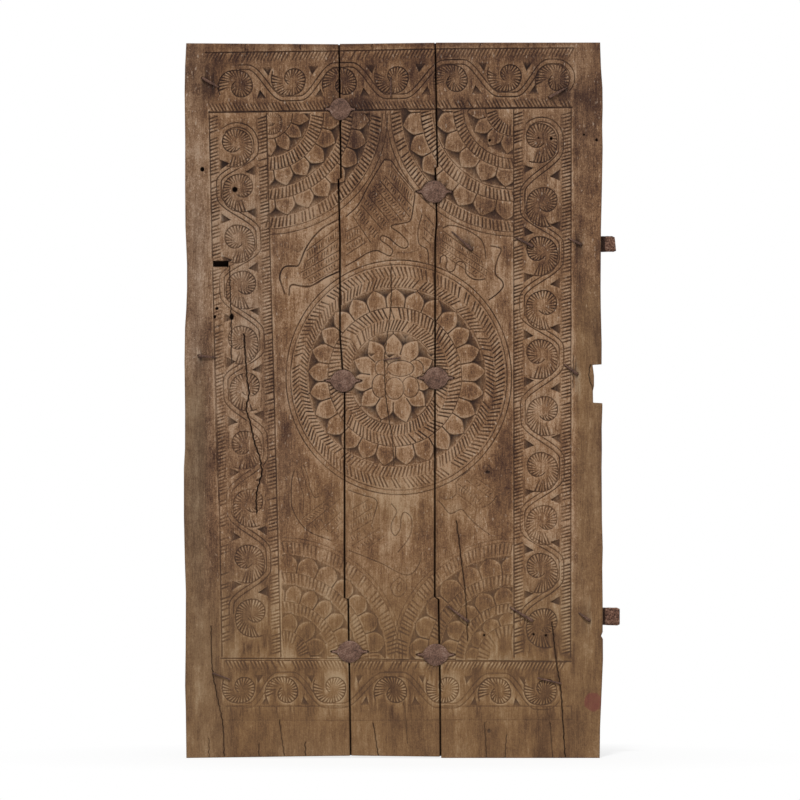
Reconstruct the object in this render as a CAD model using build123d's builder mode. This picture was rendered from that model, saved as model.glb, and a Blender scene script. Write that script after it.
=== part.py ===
"""Leaf of an old carved temple door: three planks, rear battens, iron clamps, nails and staples.

Millimetres. X runs across the leaf, Y from the carved face to the back, Z up from the foot.
"""

from build123d import *
from math import atan2, cos, degrees, hypot, radians, sin
import os

os.makedirs("parts", exist_ok=True)

# Leaf
door_height = 1718
door_width = 998
plank_thickness = 45
joint_gap = 3.6
lap_width = 9
lap_depth = 22
corner_radius = 6
overrun = 5
clearance = 0.3

# Rear battens, which run behind all three planks and stand out past the right edge
batten_depth = 36
batten_arris = 3
upper_batten_height = 37
lower_batten_height = 44
upper_batten_reach = 35
lower_batten_reach = 46
upper_batten_slant = 4
batten_left_inset = 40

# Lock side of the leaf
key_slot_width = 37
key_slot_height = 14
key_slot_depth = 32
edge_notch_height = 92
edge_notch_depth = 19
stray_hole_size = 7
stray_hole_depth = 30

# Carving
channel_depth = 1.6
groove_depth = 3.2
chip_depth = 6
stroke_depth = 3
stroke_width = 9
line_width = 3
rope_band_width = 21
side_curl_radius = 37
end_curl_radius = 31
vine_reach = 40
vine_chip_width = 19
vine_chip_height = 19
petal_chip_width = 26
petal_chip_height = 17
medallion_half_width = 271
medallion_half_height = 281
rosette_radius = 290
crack_width = 2.4
crack_depth = 14

# Iron
clamp_thickness = 4
clamp_height = 52
clamp_prong_height = 7
clamp_prong_thickness = 4
clamp_prong_length = 24
clamp_arris = 1.2
nail_size = 6
nail_tip_size = 2.5
nail_head_size = 15
nail_head_height = 4
staple_size = 4
staple_leg_length = 14

# Joint lines from the top to the foot, as shares of the leaf's width and height
left_joint_shares = (
    (0.369, 0.998), (0.374, 0.810), (0.3675, 0.808), (0.3714, 0.7235), (0.3714, 0.591),
    (0.3772, 0.545), (0.3825, 0.508), (0.3825, 0.2235), (0.391, 0.2215), (0.394, 0.109), (0.397, 0.004),
)
right_joint_shares = (
    (0.600, 0.9985), (0.6058, 0.826), (0.600, 0.824), (0.604, 0.750), (0.600, 0.7235),
    (0.5993, 0.225), (0.6082, 0.2212), (0.6118, 0.109), (0.613, 0),
)
# Worn outer edges from the foot to the top
left_edge_shares = (
    (0.0024, 0), (-0.001, 0.126), (0.001, 0.226), (-0.0035, 0.31), (-0.002, 0.402),
    (-0.003, 0.5615), (0.0036, 0.679), (0, 0.807), (-0.003, 0.913), (0.0024, 1),
)
right_edge_shares = (
    (0.9955, 0), (1.001, 0.126), (1.001, 0.226), (0.9995, 0.327), (0.9988, 0.461),
    (0.9988, 0.5615), (0.997, 0.679), (0.9995, 0.796), (1.0005, 0.913), (0.995, 0.9995),
)

# Centre heights of the battens, the slot and the notch
upper_batten_share = 0.718
lower_batten_share = 0.1962
key_slot_shares = (0.0844, 0.690)
edge_notch_share = 0.5225
stray_hole_shares = ((0.0404, 0.822), (0.1185, 0.794), (0.7312, 0.8625), (0.879, 0.865))

# Rope bands: the two ends of each centre line
rope_band_shares = (
    ((0.0565, 0.9785), (0.929, 0.985)),
    ((0.0565, 0.9085), (0.929, 0.915)),
    ((0.0668, 0.9), (0.0983, 0.141)),
    ((0.1832, 0.9), (0.2188, 0.141)),
    ((0.800, 0.9), (0.800, 0.141)),
    ((0.9147, 0.9), (0.9147, 0.141)),
    ((0.095, 0.130), (0.929, 0.1265)),
    ((0.095, 0.0665), (0.929, 0.0665)),
)
# Field corners: top left, top right, bottom right, bottom left
field_shares = ((0.1954, 0.9), (0.789, 0.907), (0.7865, 0.1365), (0.2325, 0.1393))

# Scroll strips: curl centres along each strip, counted from the strip's start
left_strip_shares = (
    (0.149, 0.203), (0.147, 0.277), (0.145, 0.355), (0.142, 0.436), (0.138, 0.517),
    (0.134, 0.583), (0.130, 0.659), (0.126, 0.724), (0.124, 0.795), (0.123, 0.858),
)
right_strip_shares = (
    (0.857, 0.187), (0.857, 0.265), (0.857, 0.331), (0.857, 0.405), (0.857, 0.484),
    (0.857, 0.563), (0.857, 0.632), (0.857, 0.7067), (0.857, 0.775), (0.857, 0.8645),
)
top_strip_shares = (
    (0.130, 0.941), (0.254, 0.944), (0.3785, 0.945), (0.504, 0.947), (0.645, 0.949),
    (0.775, 0.949), (0.890, 0.950),
)
bottom_strip_shares = (
    (0.136, 0.0955), (0.239, 0.0955), (0.3545, 0.0955), (0.501, 0.0955), (0.626, 0.0955),
    (0.751, 0.0955), (0.862, 0.0955),
)
# A curl's strokes run round from its tail, in degrees, and its tail opens by a share of its radius
stroke_count = 10
stroke_first_angle = -115
stroke_last_angle = 200
tail_share = 0.55
stroke_length_share = 0.55
# A vine crosses between two curls from this share of the way, at this share of its reach
stem_start_share = 0.28
stem_reach_share = 0.6

# Medallion: centre, ring lines as shares of its half sizes, rings of petals and rings of strokes
medallion_shares = (0.5127, 0.5315)
medallion_line_shares = (1,)
medallion_petal_shares = ((0.765, 25), (0.405, 11))
medallion_stroke_shares = ((0.90, 50), (0.54, 32))

# Corner rosettes: rings of petals and rings of strokes as shares of the radius, with the count in a quarter
rosette_petal_shares = ((0.855, 7), (0.62, 6), (0.35, 4))
rosette_stroke_shares = ((0.93, 12), (0.68, 9))

# Cracks along the grain
crack_shares = (
    ((0.1406, 0.592), (0.1478, 0.529), (0.1460, 0.488), (0.1654, 0.441), (0.1832, 0.399), (0.1709, 0.342)),
    ((0.0613, 0.184), (0.0634, 0.133), (0.0790, 0.077), (0.0930, 0.005)),
    ((0.494, 0.691), (0.4808, 0.574), (0.4808, 0.510), (0.5012, 0.408)),
    ((0.651, 0.331), (0.6737, 0.222), (0.678, 0.163)),
    ((0.881, 0.190), (0.9, 0.101), (0.913, 0.004)),
)

# Clamps across each joint, from the top: centre, and length over the tips as a share of the leaf's width
left_clamp_shares = (((0.3719, 0.906), 0.071), ((0.3788, 0.5268), 0.083), ((0.3947, 0.1485), 0.084))
right_clamp_shares = (((0.598, 0.791), 0.083), ((0.6017, 0.5306), 0.083), ((0.6017, 0.1443), 0.0875))
# A clamp's hammered outline from a tip to its middle, in its half length and half height
clamp_outline_shares = ((0.62, 0.3), (0.36, 0.82), (0.14, 1))

# Clinched nails: where each comes through the face, and where its tail ends
upper_nail_shares = (
    ((0.687, 0.7135), (0.640, 0.7355)),
    ((0.833, 0.715), (0.7945, 0.7267)),
    ((0.9498, 0.7175), (0.922, 0.7256)),
)
lower_nail_shares = (
    ((0.6786, 0.191), (0.6303, 0.2123)),
    ((0.8325, 0.1923), (0.7796, 0.211)),
    ((0.9705, 0.1923), (0.9452, 0.203)),
)
plank_nail_shares = (
    ((0.9406, 0.5364), (0.911, 0.5497)),
    ((0.8762, 0.9232), (0.9175, 0.9365)),
    ((0.0421, 0.949), (0.0791, 0.937)),
    ((0.0332, 0.5615), (0.0721, 0.5595)),
)
# Staples over cracks: their two ends
staple_shares = (
    ((0.4935, 0.950), (0.4935, 0.9245)),
    ((0.4783, 0.5565), (0.5152, 0.559)),
    ((0.0668, 0.1183), (0.1055, 0.110)),
    ((0.8486, 0.1117), (0.9019, 0.1042)),
)

# The leaf and its battens lie about the middle of their own box
left_x = -(door_width + lower_batten_reach) / 2
front_y = -(plank_thickness + batten_depth) / 2
face = Plane((0, front_y, 0), x_dir=(1, 0, 0), z_dir=(0, -1, 0))
plank_back = face.offset(-plank_thickness)
batten_back = plank_back.offset(-batten_depth)


def at(shares):
    """The place on the carved face of a pair of shares of the leaf's width and height."""
    return (left_x + shares[0] * door_width, shares[1] * door_height)


def polar(centre, half_width, half_height, angle):
    """The point of an upright ellipse at an angle in degrees."""
    turn = radians(angle)
    return (centre[0] + half_width * cos(turn), centre[1] + half_height * sin(turn))


def turned(place, angle):
    """A location in the face's own plane, turned by an angle in degrees."""
    return Location((place[0], place[1], 0), (0, 0, angle))


def run_of(ends):
    """The start, length and angle in degrees of a straight run between two pairs of shares."""
    start, end = at(ends[0]), at(ends[1])
    across, up = end[0] - start[0], end[1] - start[1]
    return start, hypot(across, up), degrees(atan2(up, across))


def joint_side(joint_shares, offset):
    """The places of a joint line, moved sideways by an offset."""
    return [(at(pair)[0] + offset, at(pair)[1]) for pair in joint_shares]


def chip(width, height, depth):
    """A three-sided chip cut: a triangle on the face, drawn to a point below its middle."""
    with BuildPart() as cut:
        with BuildSketch() as mouth:
            Polygon((-height / 2, 0), (height / 2, -width / 2), (height / 2, width / 2), align=None)
        loft([mouth.sketch, Vertex(height / 6, 0, -depth)], ruled=True)
    return cut.part


def curl_strokes(centre, radius, side, turn):
    """Locations of one curl's strokes: they point at its centre, on a radius that opens at the tail."""
    places = []
    span = stroke_last_angle - stroke_first_angle
    for count in range(stroke_count):
        angle = stroke_first_angle + count * span / (stroke_count - 1)
        tail = max(0, angle / stroke_first_angle)
        reach = radius * (1 + tail_share * tail**2 - stroke_length_share / 2)
        facing = turn + (angle if side > 0 else 180 - angle)
        places.append(turned(polar(centre, reach, reach, facing), facing))
    return places


def stem_run(start, end, side, across):
    """The start, length and angle of a vine's crossing between two curls, from one side to the other."""
    ends = []
    for share, hand in ((stem_start_share, side), (1 - stem_start_share, -side)):
        reach = hand * stem_reach_share * vine_reach
        ends.append(
            (
                start[0] + share * (end[0] - start[0]) + reach * across[0],
                start[1] + share * (end[1] - start[1]) + reach * across[1],
            )
        )
    rise, run = ends[1][1] - ends[0][1], ends[1][0] - ends[0][0]
    return ends[0], hypot(run, rise), degrees(atan2(rise, run))


# Strips: curl centres, curl radius, side of the first vine, direction along the strip, its right side
strips = (
    (left_strip_shares, side_curl_radius, -1, (0, 1), (1, 0)),
    (right_strip_shares, side_curl_radius, -1, (0, 1), (1, 0)),
    (top_strip_shares, end_curl_radius, -1, (1, 0), (0, -1)),
    (bottom_strip_shares, end_curl_radius, -1, (1, 0), (0, -1)),
)
medallion = at(medallion_shares)
field = [at(pair) for pair in field_shares]

# Shallow rope bands and ring lines
with BuildSketch(face) as rope_bands:
    for ends in rope_band_shares:
        start, length, angle = run_of(ends)
        with Locations(turned(start, angle)):
            Rectangle(length, rope_band_width, align=(Align.MIN, Align.CENTER))

with BuildSketch(face) as ring_lines:
    with Locations(medallion):
        for share in medallion_line_shares:
            half_width, half_height = share * medallion_half_width, share * medallion_half_height
            Ellipse(half_width, half_height)
            Ellipse(half_width - line_width, half_height - line_width, mode=Mode.SUBTRACT)

rosette_lines = []
for corner in field:
    with BuildSketch(face) as rim:
        with Locations(corner):
            Circle(rosette_radius)
            Circle(rosette_radius - line_width, mode=Mode.SUBTRACT)
        Polygon(*field, align=None, mode=Mode.INTERSECT)
    rosette_lines.append(rim.sketch)

# Crossings of the vines
with BuildSketch(face) as stems:
    for strip_shares, radius, first_side, along, across in strips:
        side = first_side
        for near, far in zip(strip_shares, strip_shares[1:]):
            start, length, angle = stem_run(at(near), at(far), side, across)
            with Locations(turned(start, angle)):
                Rectangle(length, line_width, align=(Align.MIN, Align.CENTER))
            side = -side

with BuildSketch(face) as cracks:
    for crack in crack_shares:
        with BuildLine() as split_line:
            Polyline(*[at(pair) for pair in crack])
        trace(split_line.line, crack_width)

# Places of the three-sided chips: beside the vines, between petal tips
vine_chip_places = []
for strip_shares, radius, first_side, along, across in strips:
    side = first_side
    for below, above in zip(strip_shares, strip_shares[1:]):
        start, end = at(below), at(above)
        middle = ((start[0] + end[0]) / 2, (start[1] + end[1]) / 2)
        turn = degrees(atan2(across[1], across[0]))
        reach = vine_reach - vine_chip_height / 2
        step = vine_chip_width / 2
        for hand in (1, -1):
            shift = hand * side * step
            place = (
                middle[0] + hand * reach * across[0] + shift * along[0],
                middle[1] + hand * reach * across[1] + shift * along[1],
            )
            vine_chip_places.append(turned(place, turn if hand > 0 else turn + 180))
        side = -side


def ring_places(centre, half_width, half_height, first_angle, span, count):
    """Locations on a ring, half a step in from each end of its span, facing out."""
    angles = [first_angle + (place + 1 / 2) * span / count for place in range(count)]
    return [turned(polar(centre, half_width, half_height, angle), angle) for angle in angles]


petal_chip_places = []
stroke_places = []
for places, rings, inset in (
    (petal_chip_places, medallion_petal_shares, petal_chip_height / 2),
    (stroke_places, medallion_stroke_shares, 0),
):
    for share, count in rings:
        half_width = share * medallion_half_width - inset
        half_height = share * medallion_half_height - inset
        places += ring_places(medallion, half_width, half_height, 90, 360, count)
for corner, first_angle in zip(field, (270, 180, 90, 0)):
    for places, rings, inset in (
        (petal_chip_places, rosette_petal_shares, petal_chip_height / 2),
        (stroke_places, rosette_stroke_shares, 0),
    ):
        for share, count in rings:
            radius = share * rosette_radius - inset
            places += ring_places(corner, radius, radius, first_angle, 90, count)
for strip_shares, radius, first_side, along, across in strips:
    turn = degrees(atan2(along[1], along[0])) - 90
    side = first_side
    for pair in strip_shares:
        stroke_places += curl_strokes(at(pair), radius, side, turn)
        side = -side

vine_chip = chip(vine_chip_width, vine_chip_height, chip_depth)
petal_chip = chip(petal_chip_width, petal_chip_height, chip_depth)
stroke = chip(stroke_width, stroke_length_share * side_curl_radius, stroke_depth)

# Seats of the iron: prong slots, nail holes and staple slots, each with its clearance
with BuildSketch(face) as prong_slots:
    for centre, length_share in left_clamp_shares + right_clamp_shares:
        place = at(centre)
        reach = (length_share * door_width - clamp_prong_thickness) / 2
        with Locations((place[0] - reach, place[1]), (place[0] + reach, place[1])):
            Rectangle(clamp_prong_thickness + 2 * clearance, clamp_prong_height + 2 * clearance)

with BuildSketch(face) as key_slot:
    with Locations(at(key_slot_shares)):
        Rectangle(key_slot_width, key_slot_height)

with BuildSketch(face) as stray_holes:
    with Locations(*[at(pair) for pair in stray_hole_shares]):
        Rectangle(stray_hole_size, stray_hole_size)

with BuildSketch(face) as nail_slots:
    for nail in upper_nail_shares + lower_nail_shares + plank_nail_shares:
        start, length, angle = run_of(nail)
        with Locations(turned(start, angle)):
            Rectangle(nail_size + 2 * clearance, nail_size + 2 * clearance)

with BuildSketch(face) as staple_slots:
    for staple in staple_shares:
        start, length, angle = run_of(staple)
        for reach in (staple_size / 2, length - staple_size / 2):
            with Locations(turned(polar(start, reach, reach, angle), angle)):
                Rectangle(staple_size + 2 * clearance, staple_size + 2 * clearance)


# Depth of each cut into the face, from nail holes that go right through to the shallow bands
cuts = [
    (nail_slots.sketch, plank_thickness),
    (key_slot.sketch, key_slot_depth),
    (stray_holes.sketch, stray_hole_depth),
    (prong_slots.sketch, clamp_prong_length + clearance),
    (staple_slots.sketch, staple_leg_length + clearance),
    (cracks.sketch, crack_depth),
    (rope_bands.sketch, channel_depth),
    (ring_lines.sketch, groove_depth),
    (stems.sketch, groove_depth),
]
cuts += [(rim, groove_depth) for rim in rosette_lines]
cut_solids = [extrude(shape, amount=-depth, mode=Mode.PRIVATE) for shape, depth in cuts]


def lap_strip(joint_shares, depth, reach, extra):
    """A strip behind a joint line, from a depth to the planks' back, out to a reach past the line.

    Its two ends go past the ends of the line by an extra length.
    """
    line = [at(pair) for pair in joint_shares]
    line[0] = (line[0][0], line[0][1] + extra)
    line[-1] = (line[-1][0], line[-1][1] - extra)
    near = [(x - overrun, y) for x, y in line]
    far = [(x + reach, y) for x, y in reversed(line)]
    with BuildSketch(face.offset(-depth)) as strip:
        Polygon(*near, *far, align=None)
    return extrude(strip.sketch, amount=depth - plank_thickness, mode=Mode.PRIVATE)


def plank(outline, rebate, tongue):
    """One carved plank, rebated over its left neighbour and with a tongue under its right one."""
    with BuildPart() as board:
        extrude(outline, amount=-plank_thickness)
        if rebate:
            add(lap_strip(rebate, lap_depth, lap_width + clearance, overrun), mode=Mode.SUBTRACT)
        if tongue:
            add(lap_strip(tongue, lap_depth + clearance, lap_width - clearance, 0))
        add(cut_solids, mode=Mode.SUBTRACT)
        with Locations(*[face.location * place for place in vine_chip_places]):
            add(vine_chip, mode=Mode.SUBTRACT)
        with Locations(*[face.location * place for place in petal_chip_places]):
            add(petal_chip, mode=Mode.SUBTRACT)
        with Locations(*[face.location * place for place in stroke_places]):
            add(stroke, mode=Mode.SUBTRACT)
    return board.part


# Plank outlines
with BuildSketch(face) as left_outline:
    with BuildLine():
        left_side = Spline(*[at(pair) for pair in left_edge_shares])
        left_joint = Polyline(*joint_side(left_joint_shares, -joint_gap / 2))
        Line(left_side @ 1, left_joint @ 0)
        Line(left_joint @ 1, left_side @ 0)
    make_face()
    corners = left_outline.vertices().sort_by(Axis.Y)
    fillet((corners[0], corners[-1]), corner_radius)

with BuildSketch(face) as middle_outline:
    with BuildLine():
        near_joint = Polyline(*joint_side(left_joint_shares, joint_gap / 2))
        far_joint = Polyline(*joint_side(right_joint_shares, -joint_gap / 2))
        Line(near_joint @ 0, far_joint @ 0)
        Line(near_joint @ 1, far_joint @ 1)
    make_face()

with BuildSketch(face) as right_outline:
    with BuildLine():
        right_joint = Polyline(*joint_side(right_joint_shares, joint_gap / 2))
        right_side = Spline(*[at(pair) for pair in right_edge_shares])
        Line(right_joint @ 0, right_side @ 1)
        Line(right_joint @ 1, right_side @ 0)
    make_face()
    corners = right_outline.vertices().sort_by(Axis.Y)
    fillet((corners[0], corners[-1]), corner_radius)
    with Locations((left_x + door_width + overrun, edge_notch_share * door_height)):
        Rectangle(
            edge_notch_depth + overrun,
            edge_notch_height,
            align=(Align.MAX, Align.CENTER),
            mode=Mode.SUBTRACT,
        )

for name, outline, rebate, tongue in (
    ("plank_left", left_outline, None, left_joint_shares),
    ("plank_middle", middle_outline, left_joint_shares, right_joint_shares),
    ("plank_right", right_outline, right_joint_shares, None),
):
    board = plank(outline.sketch, rebate, tongue)
    board.label = name
    export_step(board, f"parts/{name}.step")

# Rear battens
for name, share, height, reach, slant in (
    ("batten_upper", upper_batten_share, upper_batten_height, upper_batten_reach, upper_batten_slant),
    ("batten_lower", lower_batten_share, lower_batten_height, lower_batten_reach, 0),
):
    left_end = left_x + batten_left_inset
    right_end = left_x + door_width + reach
    low = share * door_height - height / 2
    with BuildPart() as batten:
        with BuildSketch(plank_back):
            Polygon(
                (left_end, low),
                (right_end, low),
                (right_end - slant, low + height),
                (left_end, low + height),
                align=None,
            )
        extrude(amount=-batten_depth)
        chamfer(batten.edges().filter_by(Axis.Y), batten_arris)
        chamfer(batten.edges().filter_by(Axis.X).sort_by(Axis.Y)[-2:], batten_arris)
        extrude(nail_slots.sketch, amount=-(plank_thickness + batten_depth), mode=Mode.SUBTRACT)
    batten.part.label = name
    export_step(batten.part, f"parts/{name}.step")

# Iron clamps across the two joints: a lens-shaped plate with a prong turned in at each tip
for name, clamp_shares in (
    ("clamps_left_joint", left_clamp_shares),
    ("clamps_right_joint", right_clamp_shares),
):
    with BuildPart() as clamps:
        for centre, length_share in clamp_shares:
            middle = at(centre)
            seat = Plane((middle[0], front_y, middle[1]), x_dir=(1, 0, 0), z_dir=(0, -1, 0))
            half_length = length_share * door_width / 2
            tip_height = clamp_prong_height / 2
            with BuildSketch(seat):
                tip = [(half_length, -tip_height), (half_length, tip_height)]
                flank = [
                    (along * half_length, up * clamp_height / 2) for along, up in clamp_outline_shares
                ]
                top = tip + flank + [(-x, y) for x, y in reversed(flank)]
                foot = [(-x, -y) for x, y in top]
                Polygon(*top, *foot, align=None)
            extrude(amount=clamp_thickness)
            with BuildSketch(Plane((middle[0], front_y, middle[1]))):
                for end in (-1, 1):
                    tip = end * half_length
                    root = end * (half_length - clamp_prong_thickness)
                    Polygon((tip, 0), (root, 0), ((root + tip) / 2, clamp_prong_length), align=None)
            extrude(amount=tip_height, both=True)
        chamfer(clamps.faces().filter_by(Axis.Y).group_by(Axis.Y)[0].edges(), clamp_arris)
    clamps.part.label = name
    export_step(clamps.part, f"parts/{name}.step")


def run_plane(start, angle):
    """The upright plane along a run on the face, with its second axis out of the face."""
    turn = radians(angle)
    return Plane(
        (start[0], front_y, start[1]), x_dir=(cos(turn), 0, sin(turn)), z_dir=(sin(turn), 0, -cos(turn))
    )


# Forged nails: a square head behind, a shank through the wood and a tail bent over on the face
for name, nail_shares, grip, back in (
    ("nails_upper_batten", upper_nail_shares, plank_thickness + batten_depth, batten_back),
    ("nails_lower_batten", lower_nail_shares, plank_thickness + batten_depth, batten_back),
    ("nails_plank", plank_nail_shares, plank_thickness, plank_back),
):
    with BuildPart() as nails:
        for nail in nail_shares:
            start, length, angle = run_of(nail)
            half = nail_size / 2
            with BuildSketch(run_plane(start, angle)):
                Polygon(
                    (-half, -grip),
                    (half, -grip),
                    (half, 0),
                    (length, 0),
                    (length, nail_tip_size),
                    (half, nail_size),
                    (-half, half),
                    align=None,
                )
            extrude(amount=half, both=True)
            with BuildSketch(back):
                with Locations(turned(start, angle)):
                    Rectangle(nail_head_size, nail_head_size)
            extrude(amount=-nail_head_height)
    nails.part.label = name
    export_step(nails.part, f"parts/{name}.step")

# Staples over the cracks
with BuildPart() as staples:
    for staple in staple_shares:
        start, length, angle = run_of(staple)
        with BuildSketch(run_plane(start, angle)):
            Polygon(
                (0, -staple_leg_length),
                (staple_size, -staple_leg_length),
                (staple_size, 0),
                (length - staple_size, 0),
                (length - staple_size, -staple_leg_length),
                (length, -staple_leg_length),
                (length, staple_size),
                (0, staple_size),
                align=None,
            )
        extrude(amount=staple_size / 2, both=True)
staples.part.label = "crack_staples"
export_step(staples.part, "parts/crack_staples.step")
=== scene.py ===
"""Looks of an old carved door leaf: worn planks with chip carving, forged iron, rough battens, white studio."""

import bpy
import numpy as np
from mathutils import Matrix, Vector


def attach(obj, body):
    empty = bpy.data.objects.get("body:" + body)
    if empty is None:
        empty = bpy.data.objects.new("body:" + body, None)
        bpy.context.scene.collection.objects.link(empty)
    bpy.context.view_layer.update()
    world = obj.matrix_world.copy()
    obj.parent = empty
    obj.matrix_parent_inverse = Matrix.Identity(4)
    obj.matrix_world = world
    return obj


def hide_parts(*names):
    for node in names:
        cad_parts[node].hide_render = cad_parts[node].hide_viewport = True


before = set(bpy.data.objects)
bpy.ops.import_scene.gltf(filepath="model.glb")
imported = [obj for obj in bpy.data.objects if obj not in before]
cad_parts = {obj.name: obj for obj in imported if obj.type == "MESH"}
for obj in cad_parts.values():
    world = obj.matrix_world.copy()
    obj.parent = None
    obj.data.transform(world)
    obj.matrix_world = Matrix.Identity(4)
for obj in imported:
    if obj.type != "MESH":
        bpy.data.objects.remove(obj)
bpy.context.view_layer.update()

# Leaf, in metres
LEAF_LEFT = -0.522
LEAF_WIDTH = 0.998
LEAF_HEIGHT = 1.718
FACE_Y = -0.0405
PLANK_BACK_Y = 0.0045

# Drawing units: about 2.4 mm, u to the right and v down, with the leaf's corner at the values below
LEFT_U, WIDTH_U = 185.5, 416
FOOT_V, HEIGHT_V = 758, 716
UNIT = LEAF_WIDTH / WIDTH_U

# Canvas of the carving: a fine grid over the whole leaf
CANVAS_STEP = 0.4
CANVAS_U, CANVAS_V = 180.0, 38.0
CANVAS_COLUMNS, CANVAS_ROWS = 1070, 1810

rng = np.random.default_rng(7)


def x_of(u):
    """Metres across the leaf at a drawing place."""
    return LEAF_LEFT + (np.asarray(u) - LEFT_U) * LEAF_WIDTH / WIDTH_U


def z_of(v):
    """Metres above the foot at a drawing place."""
    return (FOOT_V - np.asarray(v)) * LEAF_HEIGHT / HEIGHT_V


def u_of(x):
    """Drawing place across the leaf."""
    return LEFT_U + (np.asarray(x) - LEAF_LEFT) * WIDTH_U / LEAF_WIDTH


def v_of(z):
    """Drawing place down the leaf."""
    return FOOT_V - np.asarray(z) * HEIGHT_V / LEAF_HEIGHT


def ease(value):
    """Smooth step: 0 below 0, 1 above 1, with flat ends."""
    value = np.clip(value, 0, 1)
    return value * value * (3 - 2 * value)


def cloud(cells_u, cells_v, seed):
    """Smooth random field over the canvas, from -1 to 1: a coarse random grid with eased blending between its nodes."""
    knots = np.random.default_rng(seed).uniform(-1, 1, (cells_v + 2, cells_u + 2))
    at_u = np.linspace(0, cells_u, CANVAS_COLUMNS, endpoint=False)
    at_v = np.linspace(0, cells_v, CANVAS_ROWS, endpoint=False)
    iu, iv = at_u.astype(int), at_v.astype(int)
    fu, fv = ease(at_u - iu)[None, :], ease(at_v - iv)[:, None]
    top = knots[iv][:, iu] * (1 - fu) + knots[iv][:, iu + 1] * fu
    low = knots[iv + 1][:, iu] * (1 - fu) + knots[iv + 1][:, iu + 1] * fu
    return top * (1 - fv) + low * fv


class Carving:
    """The carved face on its canvas: cut depth and relief in millimetres, positive cut going into the wood."""

    def __init__(self):
        shape = (CANVAS_ROWS, CANVAS_COLUMNS)
        self.cut = np.zeros(shape, np.float32)
        self.relief = np.zeros(shape, np.float32)
        self.deep = np.zeros(shape, np.float32)
        # Dirt in the cuts, and painted shade and painted shadows beside the iron
        self.dirt_and_shade = np.zeros(shape, np.float32)

    def window(self, u0, v0, u1, v1):
        """Slices and coordinate rows of the part of the canvas inside a box."""
        c0 = max(0, int((u0 - CANVAS_U) / CANVAS_STEP))
        r0 = max(0, int((v0 - CANVAS_V) / CANVAS_STEP))
        c1 = min(CANVAS_COLUMNS, int((u1 - CANVAS_U) / CANVAS_STEP) + 2)
        r1 = min(CANVAS_ROWS, int((v1 - CANVAS_V) / CANVAS_STEP) + 2)
        u = CANVAS_U + CANVAS_STEP * np.arange(c0, c1)[None, :]
        v = CANVAS_V + CANVAS_STEP * np.arange(r0, r1)[:, None]
        return (slice(r0, r1), slice(c0, c1)), u, v

    def stroke(self, start, end, width=(0.8, 0.8), depth=(1.5, 1.5), layer=None):
        """One straight tool cut: depth falls with distance from the line, over a half width that tapers along it."""
        layer = self.cut if layer is None else layer
        (u0, v0), (u1, v1) = start, end
        reach = max(width)
        part, u, v = self.window(min(u0, u1) - reach, min(v0, v1) - reach, max(u0, u1) + reach, max(v0, v1) + reach)
        du, dv = u1 - u0, v1 - v0
        along = np.clip(((u - u0) * du + (v - v0) * dv) / (du * du + dv * dv + 1e-9), 0, 1)
        far = np.hypot(u - u0 - along * du, v - v0 - along * dv)
        half = width[0] + (width[1] - width[0]) * along
        deep = depth[0] + (depth[1] - depth[0]) * along
        layer[part] = np.maximum(layer[part], deep * np.clip(1.5 * (1 - far / half), 0, 1))

    def line(self, points, width=0.6, depth=1.2, layer=None):
        """A scratched line through points, with a slight tremble of depth."""
        for start, end in zip(points[:-1], points[1:]):
            deep = depth * rng.uniform(0.8, 1.15)
            self.stroke(start, end, (width, width), (deep, deep), layer)

    def chip(self, apex, left, right, depth, soot=1.0):
        """A three-sided chip: deepest at its apex, with a floor that rises straight to the opposite side."""
        corners = np.array([apex, left, right], float)
        low, high = corners.min(0), corners.max(0)
        part, u, v = self.window(low[0] - 1, low[1] - 1, high[0] + 1, high[1] + 1)
        (au, av), (bu, bv), (cu, cv) = corners
        area = (bu - au) * (cv - av) - (cu - au) * (bv - av)
        weight_b = ((u - au) * (cv - av) - (cu - au) * (v - av)) / area
        weight_c = ((bu - au) * (v - av) - (u - au) * (bv - av)) / area
        run = weight_b + weight_c
        edge = np.minimum(weight_b, weight_c) * np.sqrt(abs(area))
        inside = ease(edge / 0.9 + 0.3) * (run < 1)
        slope = np.clip(1 - run, 0, 1)
        self.cut[part] = np.maximum(self.cut[part], depth * slope**0.8 * inside)
        soil = soot * inside * (0.12 + 0.95 * slope) * ease(slope / 0.3)
        self.dirt_and_shade[part] = np.maximum(self.dirt_and_shade[part], soil)


carving = Carving()


def curve_points(points, count=8):
    """Points of a smooth line through the given points: each span is a cubic whose slopes come from its neighbours."""
    points = np.asarray(points, float)
    ends = np.vstack([2 * points[0] - points[1], points, 2 * points[-1] - points[-2]])
    t = np.linspace(0, 1, count, endpoint=False)[:, None]
    spans = []
    for a, b, c, d in zip(ends, ends[1:], ends[2:], ends[3:]):
        spans.append(
            0.5 * (2 * b + (c - a) * t + (2 * a - 5 * b + 4 * c - d) * t**2 + (3 * b - a - 3 * c + d) * t**3)
        )
    return np.vstack(spans + [points[-1:]])


def rope_band(start, end, width, lean, pitch=3.5, deep_side=1, depth=2.0, worn=0.15):
    """A rope border: slanting strokes side by side, deep on one long side, with a line along that side."""
    start, end = np.array(start, float), np.array(end, float)
    length = np.hypot(*(end - start))
    along = (end - start) / length
    across = np.array([-along[1], along[0]]) * deep_side
    for place in np.arange(pitch / 2, length, pitch):
        if rng.random() < worn:
            continue
        at = start + along * (place + rng.uniform(-0.35, 0.35))
        reach = width / 2 * rng.uniform(0.85, 1.0)
        tilt = along * lean * deep_side * width / 2
        deep = depth * rng.uniform(0.75, 1.15)
        carving.stroke(at + across * reach + tilt, at - across * reach - tilt, (1.3, 0.85), (deep, 0.5 * deep))
    shift = across * width / 2
    steps = np.linspace(0, 1, 40)[:, None]
    carving.line(start + shift + (end - start) * steps, 0.7, min(1.7, 1.3 * depth))


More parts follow.
